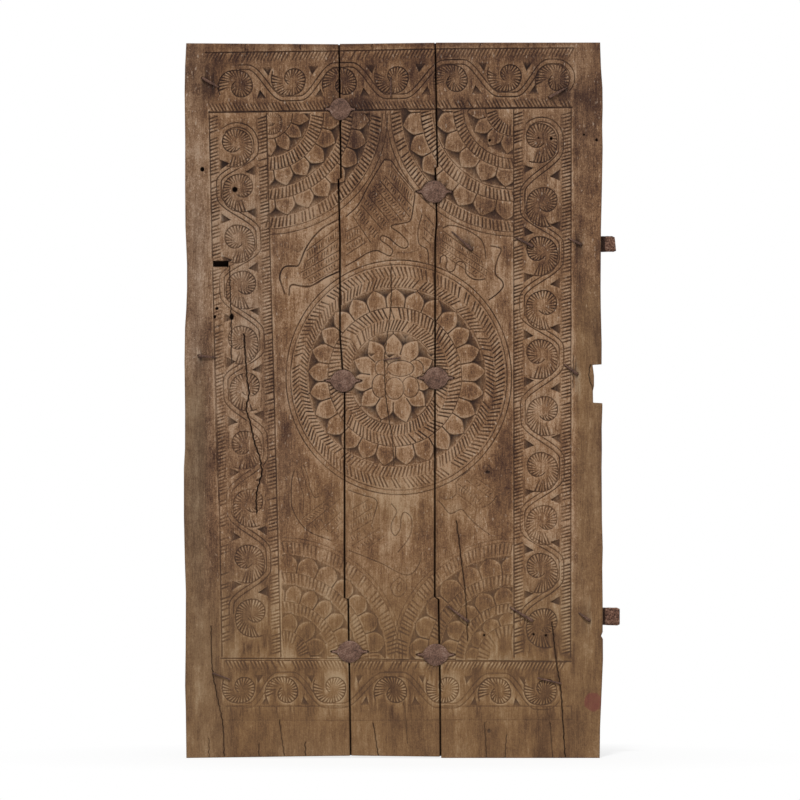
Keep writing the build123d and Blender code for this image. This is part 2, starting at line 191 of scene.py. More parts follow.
# Rope borders: ends of the centre line, width, lean, side of the deep end, depth, share worn away
ROPE_BANDS = (
    ((205, 57.2), (338, 55.4), 8.6, -0.5, -1, 1.3, 0.05),
    ((341, 55.4), (434, 53.6), 8.6, -0.5, -1, 1.3, 0.05),
    ((437, 53.4), (574, 52.4), 8.6, -0.5, -1, 1.3, 0.05),
    ((209, 107.6), (338, 106.0), 8.2, 0.5, 1, 1.5, 0.03),
    ((341, 106.0), (434, 104.6), 8.2, 0.5, 1, 1.5, 0.03),
    ((437, 104.4), (571, 102.8), 8.2, 0.5, 1, 1.5, 0.05),
    ((213.4, 116), (216.8, 262), 8.4, 0.3, 1, 1.7, 0.1),
    ((216.8, 268), (224.2, 530), 8.4, 0.3, 1, 1.5, 0.22),
    ((224.2, 530), (226.2, 656), 8.4, 0.3, 1, 1.3, 0.4),
    ((261.8, 116), (266.7, 290), 8.8, 0.25, -1, 1.8, 0.08),
    ((266.7, 290), (270.2, 420), 8.8, 0.25, -1, 1.8, 0.08),
    ((270.2, 420), (276.6, 656), 8.8, 0.25, -1, 1.5, 0.2),
    ((518.2, 112), (518.6, 656), 9, 0.3, 1, 2.0, 0.06),
    ((566.4, 112), (566.0, 656), 9.4, 0.25, -1, 2.0, 0.08),
    ((226, 664.6), (345, 664.6), 8.2, 0.45, -1, 1.2, 0.3),
    ((352, 664.8), (438, 665.4), 8.2, -0.45, -1, 1.2, 0.25),
    ((442, 665.4), (566, 666.2), 8.2, -0.5, -1, 1.7, 0.1),
    ((226, 710.5), (346, 710.5), 8.6, 0.1, -1, 0.6, 0.6),
    ((444, 710.5), (572, 710.5), 8.6, 0.1, -1, 0.5, 0.7),
)
for start, end, width, lean, deep_side, depth, worn in ROPE_BANDS:
    rope_band(start, end, width, lean, deep_side=deep_side, depth=depth, worn=worn)

# Deep step under the upper rope border, and the long lines of the frame
STRAIGHT_LINES = (
    (((209, 112.6), (338, 110.9), (435, 109.4), (572, 107.6)), 0.8, 2.4),
    (((205, 52.6), (338, 50.8), (435, 48.9), (574, 47.8)), 0.6, 0.9),
    (((208.9, 113), (212.5, 262), (216.2, 440), (219.9, 530), (222, 657)), 0.5, 1.6),
    (((266.6, 113), (271, 290), (275, 420), (280.8, 657)), 0.6, 2.0),
    (((513.7, 108), (513.9, 657)), 0.6, 2.2),
    (((571.2, 108), (570.8, 657)), 0.6, 1.8),
    (((221, 658.4), (346, 658.9), (440, 660.2), (571, 661.4)), 0.8, 1.8),
    (((222, 720), (346, 720.4), (440, 720), (573, 719.6)), 0.5, 0.5),
)
for points, width, depth in STRAIGHT_LINES:
    carving.line(curve_points(points, 40), width, depth)

# Spiral of a curl for a vine on its right: angle in degrees from the right, and radius for a curl of 15.5
SPIRAL_ANGLES = (-118, -95, -73, -50, -27, 5, 38, 75, 98, 119, 150, 172, 195, 220, 247, 273, 310, 360)
SPIRAL_RADII = (26.2, 24.8, 23.2, 21.0, 17.6, 15.6, 15.3, 15.1, 16, 16.9, 16.8, 15.8, 14.5, 12.3, 9.4, 6.6, 4.6, 3.2)
SPIRAL_SIZE = 15.5


def curl(centre, radius, side, along, across, depth, stroke_gap=3.5):
    """One scroll: a spiral line about its centre, with wedge strokes from the spiral inwards like a fan."""
    size = radius / SPIRAL_SIZE
    centre, along, across = np.array(centre, float), np.array(along, float), np.array(across, float)

    def place(angle, reach):
        turn = np.radians(angle)
        return centre + across * side * reach * np.cos(turn) + along * reach * np.sin(turn)

    def spiral(angle):
        return size * np.interp(angle, SPIRAL_ANGLES, SPIRAL_RADII)

    angles = np.arange(-118, 300, 8.0)
    carving.line([place(angle, spiral(angle)) for angle in angles], 0.7, 0.95 * depth)
    angle = -108.0
    while angle < 262:
        outer = spiral(angle)
        inner = outer * 0.5 if angle < 60 else max(outer * 0.48, 2.2)
        if angle > 170:
            inner = outer * 0.35
        lean = rng.uniform(-4, 4)
        deep = depth * rng.uniform(0.8, 1.15)
        start, end = place(angle, outer * 0.96), place(angle + lean + 4, inner * rng.uniform(0.95, 1.15))
        carving.stroke(start, end, (1.25, 0.55), (deep, 0.4 * deep))
        angle += np.degrees(stroke_gap / max(outer, 6.0)) * rng.uniform(0.9, 1.1)


def vine_strip(centres, radius, first_side, along, across, reach, depth, vine=0.85, chips=1.0):
    """A scroll strip: curls on a wavy double-line vine that passes them on alternate sides, with chips at its crossings."""
    along, across = np.array(along, float), np.array(across, float)
    centres = np.array(centres, float)
    sides = first_side * (-1.0) ** np.arange(len(centres))
    path = []
    for place, (near, far) in enumerate(zip(centres[:-1], centres[1:])):
        for share in np.linspace(0, 1, 14, endpoint=False):
            swing = sides[place] * (1 - 2 * ease((share - 0.16) / 0.68))
            path.append(near + (far - near) * share + across * reach * swing)
    last = centres[-1]
    for turn in np.radians(np.arange(0, 150, 15)):
        path.append(last + across * sides[-1] * reach * np.cos(turn) + along * reach * np.sin(turn))
    path = np.array(path)
    slope = np.gradient(path, axis=0)
    normal = np.stack([-slope[:, 1], slope[:, 0]], 1) / np.hypot(slope[:, 0], slope[:, 1])[:, None]
    for offset in (-2.3, 2.3):
        carving.line(path + normal * offset, 0.7, vine * depth)
    for centre, side in zip(centres, sides):
        curl(centre, radius, side, along, across, depth)
    for near, far, side in zip(centres[:-1], centres[1:], sides):
        middle = (near + far) / 2
        for hand, shift in ((side, 3.0), (-side, -5.5)):
            apex = middle + across * hand * (reach * 0.42) + along * shift
            base = middle + across * hand * (reach * 0.98) + along * (shift - 1.5 * hand * side)
            spread = along * rng.uniform(5.0, 6.5) * chips
            carving.chip(apex, base + spread, base - spread, 2.6 * depth * chips, chips**2)


LEFT_CURLS = (
    (250.5, 614), (249.6, 560), (248.2, 504), (246.6, 446), (244.8, 388), (243, 341), (241, 286), (239.5, 240),
    (238, 189), (237, 144),
)
RIGHT_CURLS = (
    (542, 624), (542, 569), (542, 521), (542.5, 468), (542.5, 412), (542, 355), (541.5, 306), (542, 252),
    (542, 203), (541.5, 139),
)
TOP_CURLS = ((239, 84), (292, 82), (343, 81.5), (395, 80), (454, 78.5), (508, 78), (556, 78))
FOOT_CURLS = ((242, 690), (285, 690), (333, 690), (394, 690), (446, 690), (498, 691), (544, 692))
UP, RIGHT, DOWN = (0, -1), (1, 0), (0, 1)
vine_strip(LEFT_CURLS, 14.5, -1, UP, RIGHT, 19.0, 1.7)
vine_strip(RIGHT_CURLS, 15.0, -1, UP, RIGHT, 19.5, 1.8)
vine_strip(TOP_CURLS, 13.0, -1, RIGHT, DOWN, 16.5, 1.8)
vine_strip(FOOT_CURLS, 12.5, 1, RIGHT, DOWN, 15.5, 2.0, vine=0.42, chips=0.7)


def ring_point(inner, outer, angle, share):
    """A point between two ellipses (centre and half sizes), at an angle and a share of the way from inner to outer."""
    ends = [np.array([u + a * np.cos(angle), v + b * np.sin(angle)]) for u, v, a, b in (inner, outer)]
    return ends[0] + (ends[1] - ends[0]) * share


def ring_share(inner, outer, u, v):
    """How far each point lies from the inner ellipse to the outer one, 0 to 1, and its angle about their middle."""
    reach_in = np.hypot((u - inner[0]) / inner[2], (v - inner[1]) / inner[3]) - 1
    reach_out = 1 - np.hypot((u - outer[0]) / outer[2], (v - outer[1]) / outer[3])
    share = reach_in / np.maximum(reach_in + reach_out, 1e-6)
    middle_u, middle_v = (inner[0] + outer[0]) / 2, (inner[1] + outer[1]) / 2
    return share, np.arctan2(v - middle_v, u - middle_u)


def ring_line(ring, span=(0, 360), width=0.5, depth=1.3):
    """A scratched ellipse, or the part of it over a span of degrees."""
    angles = np.radians(np.linspace(*span, max(12, int(abs(span[1] - span[0]) / 3))))
    carving.line([ring_point(ring, ring, angle, 0) for angle in angles], width, depth)


def petal_ring(inner, outer, count, first, span=(0, 360), depth=4.5, dome=0.9, full=0.5, point=1.0):
    """A ring of petals: each a domed leaf that narrows to a point on the outer ellipse, with a chip between tips.

    A petal keeps its full width over a share of its length; its point is sharp at 1, round below. The chip's floor is deepest in the fork of two petals
    and rises to the outer ellipse; a line parts the petals below it.
    """
    part, u, v = carving.window(outer[0] - outer[2], outer[1] - outer[3], outer[0] + outer[2], outer[1] + outer[3])
    share, angle = ring_share(inner, outer, u, v)
    degrees = np.degrees(angle) % 360
    low, high = span[0] % 360, span[0] % 360 + span[1] - span[0]
    within = (degrees - low) % 360 <= high - low
    turn = ((degrees - first) % 360) * count / 360
    number = np.floor(turn + 0.5).astype(int) % count
    size = np.random.default_rng(count).uniform(0.93, 1.02, count)[number]
    offset = (turn + 0.5) % 1 - 0.5
    narrow = np.clip((share / size - full) / (1 - full), 0, 1)
    half = 0.5 * (1 - narrow**1.75) ** point
    ring_width = outer[2] - inner[2]
    arc = 2 * np.pi * (inner[2] + share * ring_width) / count
    margin = (half - np.abs(offset)) * arc
    live = within & (share > 0) & (share < 1)
    leaf = live & (margin > 0)
    bulge = dome * np.clip(1 - (offset / np.maximum(half, 0.02)) ** 2, 0, 1) * np.clip(1.15 - share, 0, 1)
    carving.relief[part] += np.where(leaf, bulge - dome * 0.55, 0)
    chip = live & (margin <= 0)
    floor = depth * np.clip(1 - narrow, 0, 1) ** 0.5 * ease(-margin / 0.8)
    carving.cut[part] = np.maximum(carving.cut[part], np.where(chip, floor, 0))
    soot = ease(-margin / 0.45) * np.clip(1.75 - 1.6 * narrow, 0.12, 1) * min(1.0, depth / 3.2)
    carving.dirt_and_shade[part] = np.maximum(carving.dirt_and_shade[part], np.where(chip, soot, 0))
    rim = min(1.8, 0.48 * depth) * np.clip(1.5 * (1 - np.abs(margin) / 0.75), 0, 1)
    carving.cut[part] = np.maximum(carving.cut[part], np.where(live, rim, 0))


def petal_scale(ring, dome=0.8, depth=1.1):
    """A rounded petal laid over what was cut before: a dome inside an ellipse, with a line about it."""
    part, u, v = carving.window(ring[0] - ring[2], ring[1] - ring[3], ring[0] + ring[2], ring[1] + ring[3])
    far = np.hypot((u - ring[0]) / ring[2], (v - ring[1]) / ring[3])
    carving.cut[part] = np.where(far < 1, 0, carving.cut[part])
    carving.dirt_and_shade[part] = np.where(far < 1, 0, carving.dirt_and_shade[part])
    carving.relief[part] = np.where(far < 1, dome * (1 - far**2) - 0.3, carving.relief[part])
    ring_line(ring, width=0.55, depth=depth)


def hatch_ring(inner, outer, count, lean, span=(0, 360), depth=1.8, worn=0.05):
    """A ring of slanting strokes between two ellipses."""
    step = 360 / count
    for angle in np.radians(np.arange(span[0] + step / 2, span[1], step)):
        if rng.random() < worn:
            continue
        turn = angle + rng.uniform(-0.12, 0.12) * np.radians(step)
        deep = depth * rng.uniform(0.75, 1.15)
        start = ring_point(inner, outer, turn + np.radians(lean * step), 0.95)
        end = ring_point(inner, outer, turn, 0.08)
        carving.stroke(start, end, (1.2, 0.9), (deep, 0.65 * deep))


def herringbone_ring(inner, outer, count, lean, depth=1.6, worn=0.06):
    """A ring of chevrons: two rows of strokes that lean opposite ways and meet in the middle."""
    step = np.radians(360 / count)
    for angle in np.arange(count) * step:
        for near, far in ((0.06, 0.46), (0.95, 0.54)):
            if rng.random() < worn:
                continue
            turn = angle + rng.uniform(-0.12, 0.12) * step
            deep = depth * rng.uniform(0.7, 1.15)
            start = ring_point(inner, outer, turn, near)
            end = ring_point(inner, outer, turn + lean * step, far)
            carving.stroke(start, end, (1.1, 0.9), (deep, 0.75 * deep))


# Medallion: ellipses from the rim inwards
RIM = (398.8, 377.5, 112.8, 117.3)
RIM_INNER = (398.8, 377.5, 108.3, 112.8)
HERRING_OUTER = (398.6, 377.5, 106.6, 111.2)
PETAL_TIPS = (396.2, 377.0, 89.2, 89.6)
PETAL_FEET = (394.9, 376.9, 66.8, 69.5)
INNER_TIPS = (393.3, 377.9, 43.6, 46.6)
INNER_FEET = (393.3, 378.2, 23.5, 24.5)
# Rounded petals of the heart, from the lowest to the one on top
HEART_SCALES = (
    (382.0, 368.0, 7.0, 8.0), (415.5, 369.0, 8.0, 9.0), (400.5, 368.5, 13.5, 8.0), (380.0, 386.0, 8.0, 11.5),
    (410.5, 387.0, 8.5, 10.5), (394.5, 388.5, 9.5, 11.0),
)
for ring, width, depth in (
    (RIM, 0.6, 1.7), (RIM_INNER, 0.5, 1.3), (PETAL_TIPS, 0.45, 1.0), (PETAL_FEET, 0.5, 1.4), (INNER_TIPS, 0.5, 1.3),
):
    ring_line(ring, width=width, depth=depth)
herringbone_ring(PETAL_TIPS, HERRING_OUTER, 158, 1.1)
herringbone_ring(INNER_TIPS, PETAL_FEET, 100, 1.0)
petal_ring(PETAL_FEET, PETAL_TIPS, 25, 270, depth=4.2, full=0.48, point=0.9)
petal_ring(INNER_FEET, INNER_TIPS, 11, 270, depth=3.6)
for ring in HEART_SCALES:
    petal_scale(ring)
# Broken places in the heart of the rose: apex, left, right
HEART_CHIPS = (
    ((379, 341), (374.5, 334.5), (384, 335.5)), ((405, 339), (400, 332.5), (411.5, 333.5)),
    ((389, 358), (383.5, 353), (396, 354)), ((371, 357), (366, 351.5), (376, 353)), ((431, 357), (425, 350.5), (437.5, 352)),
)
for apex, left, right in HEART_CHIPS:
    carving.chip(apex, left, right, 3.2)


def circle_at(corner, radius):
    """A circle about a corner, written as an ellipse."""
    return (corner[0], corner[1], radius, radius)


# Corner rosettes: centre, span in degrees, petal rings (radii, petals in a full turn, first angle, chip depth),
# hatch rings (radii, strokes in a full turn, lean), lines
ROSETTES = (
    (
        (266.8, 113.6), (0, 90),
        ((26, 43.5, 14, 8, 4.2), (57, 75.5, 21, 6, 4.6), (86, 104.5, 29, 4, 3.8)),
        ((44, 56, 92, 0.5), (75.5, 85.5, 136, 0.6), (104, 114, 176, 0.6)),
        (25.7, 43, 56.8, 74.5, 86, 103, 115.5, 121),
    ),
    (
        (513.7, 108.4), (90, 180),
        ((29, 46.5, 14, 98, 4.2), (61, 80.5, 20, 96, 4.8), (93.5, 112.5, 28, 94, 4.6)),
        ((17, 27, 46, -0.5), (51, 60, 96, -0.6), (82, 92.5, 140, -0.6), (113, 122.5, 190, -0.6)),
        (28, 50.5, 60.5, 81, 93, 112, 123.5, 128),
    ),
    (
        (282.2, 658.3), (270, 360),
        ((28, 47, 12, 281, 3.0), (57, 75, 24, 280, 3.0), (86, 104, 28, 273, 3.0)),
        ((17, 27, 46, -0.5), (48, 56, 84, -0.5), (76, 85.5, 130, -0.5), (105, 116, 170, -0.5)),
        (28, 57, 86, 117, 120.5),
    ),
    (
        (512.7, 660.4), (180, 270),
        ((36, 48, 14, 186, 3.0), (57, 75, 20, 190, 3.4), (86, 105, 26, 187, 3.2)),
        ((24, 35, 48, 0.5), (48.5, 56.5, 84, 0.5), (75.5, 85.5, 130, 0.5), (106, 117, 176, 0.5)),
        (36, 57, 75, 86, 118, 121.5),
    ),
)
for corner, span, petal_rings, hatch_rings, lines in ROSETTES:
    worn = 0.05 if corner[1] < 300 else 0.14
    firm = 1.0 if corner[1] < 300 else 0.5 if corner[0] < 400 else 0.58
    for inner, outer, count, first, depth in petal_rings:
        full, point = (0.44, 1.08) if corner[1] < 300 else (0.5, 0.62)
        petal_ring(circle_at(corner, inner), circle_at(corner, outer), count, first, span, depth, full=full, point=point)
    for inner, outer, count, lean in hatch_rings:
        hatch_ring(circle_at(corner, inner), circle_at(corner, outer), count, lean, span, 1.9 * firm, worn)
    for radius in lines:
        ring_line(circle_at(corner, radius), span, 0.5, 1.4 * firm)
curl((273, 121), 8.5, 1, UP, RIGHT, 1.2, 2.6)

# Birds of the field: outlines as smooth scratched lines, with width and depth
BIRD_LINES = (
    (((338.7, 219.4), (324.2, 227.2), (317.6, 232.8), (310.9, 240.6), (304.8, 250.6), (298.7, 265), (293, 266.1),
      (285.3, 266.7), (280.9, 271.7), (279.8, 278.3), (282, 286.1), (284.8, 293.9)), 1.0, 2.0),
    (((289.2, 295), (289.8, 287.2), (293.1, 284.8), (299.8, 286.1), (308.7, 286.7), (316.4, 283.3), (325.3, 277.8),
      (338.7, 271.7)), 1.1, 2.2),
    (((293.7, 250), (298.7, 251.7), (303.1, 247.2)), 0.5, 0.6),
    (((384, 160), (391.3, 161), (398, 170.7), (410, 185.3), (414.7, 193.3), (413.3, 206.7), (410.7, 220), (403.3, 223.3),
      (392.7, 225.3), (392, 228), (400.7, 234), (408, 242.7), (406, 248), (399.3, 246.7), (388.7, 238), (382, 236),
      (380.7, 240), (388.7, 246), (392.7, 250.7), (390, 256), (383.3, 253.3), (376.7, 250.7), (367.3, 253.3),
      (356.7, 260), (346, 266)), 0.7, 1.6),
    (((384, 160), (376.7, 172), (367.3, 188), (358, 205.3), (346, 216.7)), 0.7, 1.6),
    (((422, 214.7), (418, 230.7), (419.3, 244), (427.3, 250), (428.7, 264)), 0.6, 1.4),
    (((402, 225), (408, 232), (412, 235)), 0.4, 0.7),
    (((398, 253), (410, 252.5), (418, 250)), 0.4, 0.7),
    (((443, 228), (450, 225.5), (462, 228), (474, 234), (482, 241), (485, 250), (486, 259)), 0.7, 1.4),
    (((440, 263), (441, 257), (445, 255.5), (447, 260), (446, 268), (450, 272), (454.5, 269.5), (456.5, 263),
      (461, 261.5), (465.5, 265), (466, 273), (472, 278.5), (479, 280), (485, 279)), 0.8, 1.7),
    (((491, 246), (501, 249), (498, 258), (495.5, 267), (496, 275), (502, 281), (503, 287), (497, 294), (489, 300)), 0.8, 1.8),
    (((294.4, 470.6), (291.7, 480.6), (291.1, 499.4), (292.8, 509.4), (300, 522.8), (311.1, 532.8), (331.1, 540.6)), 0.6, 1.4),
    (((303.9, 465), (307.8, 477.2), (310.6, 489.4), (314.4, 497.2), (318.9, 496.7)), 0.6, 1.2),
    (((296.7, 471.7), (300, 484), (303.9, 496.1)), 0.5, 1.0),
    (((301.1, 467.2), (305.5, 482), (310, 498.3)), 0.5, 1.0),
    (((348.7, 490.3), (364.7, 495.7), (374, 498.3), (377.3, 503.7), (374, 515.7), (372, 523.7)), 0.6, 1.3),
    (((391.3, 503.7), (396.7, 511.7), (392, 522), (391.3, 530.3), (395.3, 535.7), (400, 529), (401.3, 517), (404.7, 512.3),
      (410.7, 517), (412, 526.3), (408.7, 538.3), (398, 552.3)), 0.6, 1.4),
    (((348.7, 550.3), (368.7, 558.3), (383.3, 564.3), (394, 570.3), (404.7, 575), (412.7, 573), (419.3, 563.7),
      (421.3, 553)), 0.6, 1.2),
    (((399.3, 577), (391.3, 585), (392.7, 593), (398.7, 597), (405.3, 591.7), (406, 583.7), (399.3, 577)), 0.5, 0.9),
    (((400.7, 581.7), (396.7, 587.7), (399.3, 591.7), (402, 587), (400.7, 581.7)), 0.5, 0.9),
    (((440.6, 497.2), (446.7, 499.4), (454.4, 496.1), (456.7, 490.6), (456.1, 482.8), (462, 476), (470, 470)), 0.5, 1.0),
    (((438.3, 500.6), (443.3, 506.1), (447.8, 512.2), (452.2, 513.3), (457.8, 510.6), (462.2, 509.4), (467.8, 516.1),
      (476.7, 525), (490, 535)), 0.7, 1.4),
    (((478.9, 466.1), (482.2, 477.2), (488, 478), (492, 470), (488, 465)), 0.5, 1.0),
    (((496.7, 496.1), (490, 503.9), (482.2, 507.8)), 0.6, 1.2),
)
for points, width, depth in BIRD_LINES:
    carving.line(curve_points(points, 6), width, depth)

# Feather bands: the two ends of each line; dashes stand between a line and the next one of its group
FEATHER_GROUPS = (
    (((306.4, 251), (338, 227)), ((306.4, 261.7), (338.7, 238.5)), ((300.9, 272.8), (338.7, 250.6)), ((304, 279), (338.7, 259.5)),
     ((312, 283), (338.7, 268))),
    (((391, 166), (413, 192)), ((385, 176), (413.6, 208)), ((380.7, 181.3), (410, 217.3)), ((374, 186), (402, 221.3)),
     ((368.5, 196), (389, 221.3)), ((361.3, 205.3), (382, 229.3)), ((352.7, 216), (371, 243))),
    (((346, 232), (359.3, 225.3)), ((346, 244.5), (360.5, 235.5)), ((346, 255.3), (366, 242))),
    (((424.7, 214.7), (434, 225.3)), ((423.3, 227.3), (434, 237.3)), ((423.3, 237.3), (431, 245))),
    (((443, 231), (480, 258)), ((442, 240.5), (488, 271)), ((441, 246.5), (486, 276)), ((441, 253), (476, 277))),
    (((302.2, 518.3), (326, 500.8)), ((307.2, 526.1), (340.6, 498.3)), ((321.1, 530), (341, 511.7)), ((330.6, 532.8), (342.2, 521.7)),
     ((335.6, 539.4), (342.2, 532.8))),
    (((350, 510), (368, 500)), ((350, 522), (372, 508)), ((350, 534), (372, 520)), ((352, 546), (380, 528)), ((362, 552), (384, 536))),
    (((458, 484), (480, 500)), ((458, 494), (476, 508)), ((466, 480), (490, 498)), ((476, 478), (494, 490))),
)
for group in FEATHER_GROUPS:
    worn = 0.1 if group[0][0][1] < 400 else 0.35
    for start, end in group:
        carving.line(curve_points((start, end), 6), 0.5, 1.1 if worn < 0.2 else 0.8)
    for near, far in zip(group[:-1], group[1:]):
        first, last = (np.array(near) + np.array(far)) / 2
        across = (np.array(far[0]) - np.array(near[0]) + np.array(far[1]) - np.array(near[1])) / 2
        length = np.hypot(*(last - first))
        for share in np.arange(1.6, length, 2.9) / length:
            if rng.random() < worn:
                continue
            at = first + (last - first) * share
            half = across * rng.uniform(0.14, 0.2)
            carving.stroke(at - half, at + half, (0.6, 0.5), (1.2, 0.9))

# Cracks along the grain and end checks, with width and depth
CRACKS = (
    (((244, 334), (245.5, 357), (247, 379), (249, 394), (246.3, 408.7), (250, 422), (254.3, 442), (259.5, 457),
      (261.7, 472), (259.5, 482), (256.6, 494), (256.6, 513)), 0.75, 7),
    (((229.4, 266), (230.2, 290), (231.2, 318), (231.6, 363)), 0.55, 3.5),
    (((211, 626), (211.8, 662.7), (213.7, 679), (218.4, 702.7), (222.8, 724.7), (224.3, 756)), 0.5, 4.5),
    (((391, 263), (390.8, 307), (385.5, 347), (384.5, 362), (385.5, 393), (389.3, 421.7), (392.2, 437), (394, 465.7)), 0.5, 3.2),
    (((456.3, 520.8), (462, 564.8), (465.8, 599), (467.7, 641)), 0.55, 5),
    (((552, 622), (555.7, 656.6), (560, 685.7), (561.5, 698), (563.8, 737.8), (565.3, 757)), 0.6, 6),
    (((573.4, 355), (573, 388)), 0.5, 2.5), (((590.4, 364.5), (589, 372), (590, 381), (593, 389.5)), 0.5, 3.2),
    (((279.3, 720), (284.4, 756)), 0.45, 3),
    (((208.9, 738), (209, 758)), 0.4, 2.2),
    (((259, 744), (258.7, 756)), 0.5, 3),
    (((305, 742), (305.7, 756)), 0.5, 3),
    (((373.2, 723), (378.3, 756)), 0.5, 3.5),
    (((403.8, 699.5), (407.7, 744)), 0.4, 2),
    (((484.6, 722.5), (486.5, 758)), 0.45, 3.2),
    (((506.4, 734.7), (505, 758)), 0.45, 3.2),
    (((550, 722.5), (552.6, 758)), 0.45, 3),
    (((300, 42), (300.6, 50)), 0.45, 2), (((372, 42), (372.4, 52)), 0.45, 2), (((480, 41), (480, 52)), 0.45, 2),
    (((245, 42), (245.4, 51)), 0.45, 2), (((528, 41), (528.4, 49)), 0.45, 2),
)
for points, width, depth in CRACKS:
    path = curve_points(points, 10)
    path[:, 0] += 0.35 * np.sin(path[:, 1] * 0.9) + rng.normal(0, 0.12, len(path))
    carving.line(path, width, depth, carving.deep)

# Holes through or into the face: place, half width, half height, depth
HOLES = (
    (202.3, 169.4, 1.7, 2.0, 14), (234.8, 189.6, 2.3, 2.4, 14), (489.7, 140.4, 1.0, 1.4, 12), (551.3, 138.5, 1.2, 1.6, 12),
    (538.5, 138, 0.8, 0.9, 6), (583.9, 134.8, 0.9, 1.0, 6), (596.5, 140, 1.2, 1.5, 6), (484.2, 635.2, 0.9, 1.3, 10),
    (533.6, 634.4, 0.9, 1.2, 8), (545.9, 635.5, 1.0, 1.3, 8), (216.9, 308.5, 1.3, 1.3, 12), (214.7, 317, 1.1, 1.6, 12),
    (231.6, 317, 1.8, 2.8, 14), (487.8, 472.2, 2.2, 1.6, 3), (489, 731, 1.6, 2.0, 2),
)
for u0, v0, half_u, half_v, depth in HOLES:
    part, u, v = carving.window(u0 - 2 * half_u, v0 - 2 * half_v, u0 + 2 * half_u, v0 + 2 * half_v)
    far = np.hypot((u - u0) / half_u, (v - v0) / half_v)
    carving.deep[part] = np.maximum(carving.deep[part], depth * ease((1.25 - far) / 0.5))

# Blind key slot
SLOT_U, SLOT_V, SLOT_HALF_U, SLOT_HALF_V, SLOT_DEPTH = 220.6, 263.9, 7.7, 2.9, 31
part, u, v = carving.window(SLOT_U - 10, SLOT_V - 5, SLOT_U + 10, SLOT_V + 5)
slot = (np.abs(u - SLOT_U) < SLOT_HALF_U) & (np.abs(v - SLOT_V) < SLOT_HALF_V)
carving.deep[part] = np.maximum(carving.deep[part], np.where(slot, SLOT_DEPTH, 0))

# Iron: centres and lengths of the clamps, ends of the nails (from where they come out) and of the staples
CLAMPS = {
    "clamps_left_joint": ((340.2, 109.2, 29.5), (343.1, 380.8, 34.6), (349.7, 651.7, 35)),
    "clamps_right_joint": ((434.3, 191.7, 34.5), (435.8, 378.1, 34.4), (435.8, 654.7, 36.4)),
}
NAILS = {
    "nails_upper_batten": (((471.2, 249), (451.6, 231.4)), ((532, 246), (516, 237.7)), ((580.6, 244.3), (569, 238.5))),
    "nails_lower_batten": (
        ((467.8, 621.2), (447.7, 606)), ((531.8, 620.3), (509.8, 606.9)), ((589.2, 620.3), (578.7, 612.6)),
    ),
    "nails_plank": (
        ((576.8, 373.9), (564.4, 364.4)), ((550, 97), (567.2, 87.4)), ((203, 78.4), (218.4, 87.2)),
        ((199.3, 356), (215.5, 357.4)),
    ),
}
STAPLES = (
    ((390.8, 77.8), (390.8, 96)), ((384.5, 359.6), (399.8, 357.7)), ((213.3, 673.3), (229.4, 679.2)),
    ((538.5, 678), (560.7, 683.4)),
)
# The wood is cut and bruised about the iron; painted shade darkens it round the clamp tips, and painted shadows lie
# under each clamp's rim and beside the nails and staples
for u, v, length in sum(CLAMPS.values(), ()):
    for hand in (-1, 1):
        root, tip = (u + hand * 0.3 * length, v), (u + hand * (length / 2 + 0.6), v)
        carving.stroke(root, tip, (5.2, 1.5), (1.2, 2.6))
        carving.stroke(root, tip, (5.4, 2.0), (0.95, 0.95), carving.dirt_and_shade)
        carving.stroke((u + hand * 0.39 * length, v), (u + hand * (length / 2 + 0.9), v), (2.3, 1.5), (2.6, 3.0), carving.deep)
    turn = np.linspace(0, 2 * np.pi, 40)
    rim = np.stack([u + 0.345 * length * np.cos(turn), v + 0.4 + 0.345 * length * np.sin(turn) * 0.97], -1)
    carving.line(rim, 1.3, 0.9, carving.dirt_and_shade)
for start, end in sum(NAILS.values(), ()):
    start, end = np.array(start), np.array(end)
    carving.stroke(start, start + (start - end) * 0.04, (1.9, 1.7), (3.0, 3.0))
    carving.stroke(start + (0.3, 0.5), end + (0.3, 0.5), (3.0, 1.6), (1.0, 0.9), carving.dirt_and_shade)
for start, end in STAPLES:
    carving.stroke(np.array(start) + (0.4, 0.8), np.array(end) + (0.4, 0.8), (1.7, 1.7), (0.8, 0.8), carving.dirt_and_shade)

# Hand wear: the carving is fainter in the lower half and on the handled edges
grid_u = CANVAS_U + CANVAS_STEP * np.arange(CANVAS_COLUMNS)[None, :]
grid_v = CANVAS_V + CANVAS_STEP * np.arange(CANVAS_ROWS)[:, None]


def patch(u, v, half_u, half_v):
    """A soft oval on the canvas: 1 at its middle, falling as a bell curve."""
    return np.exp(-(((grid_u - u) / half_u) ** 2) - ((grid_v - v) / half_v) ** 2)


firmness = 1 - 0.22 * ease((grid_v - 420) / 260) + 0.12 * cloud(9, 16, 3)
for u, v, half_u, half_v, amount in (
    (330, 470, 45, 45, 0.2), (400, 545, 60, 50, 0.25), (248, 690, 26, 24, 0.28), (300, 690, 30, 26, -0.05), (470, 510, 45, 40, 0.25),
    (400, 690, 60, 26, 0.1), (520, 690, 50, 26, -0.15), (235, 520, 22, 60, 0.15), (480, 640, 40, 30, 0.15),
    (545, 634, 18, 20, 0.4),
):
    firmness = firmness - amount * patch(u, v, half_u, half_v)
carving.cut *= np.clip(firmness, 0.25, 1.15)

# Old boards are never flat: slow waves, faint ridges along the grain, pecks
carving.relief += 0.5 * cloud(7, 5, 11) + 0.12 * cloud(60, 7, 12) + 0.04 * cloud(180, 26, 13)
height_map = (carving.relief - np.maximum(carving.cut, carving.deep)) * 0.001


def soften(field, cells):
    """Box blur of a canvas field over a number of cells each way, by running sums."""
    for axis in (0, 1):
        pad = [(0, 0), (0, 0)]
        pad[axis] = (cells + 1, cells)
        total = np.cumsum(np.pad(field, pad, mode="edge"), axis=axis, dtype=np.float64)
        size = field.shape[axis]
        high = np.take(total, np.arange(size) + 2 * cells + 1, axis=axis)
        low = np.take(total, np.arange(size), axis=axis)
        field = (high - low) / (2 * cells + 1)
    return field


hollow = soften(height_map, 7) - height_map
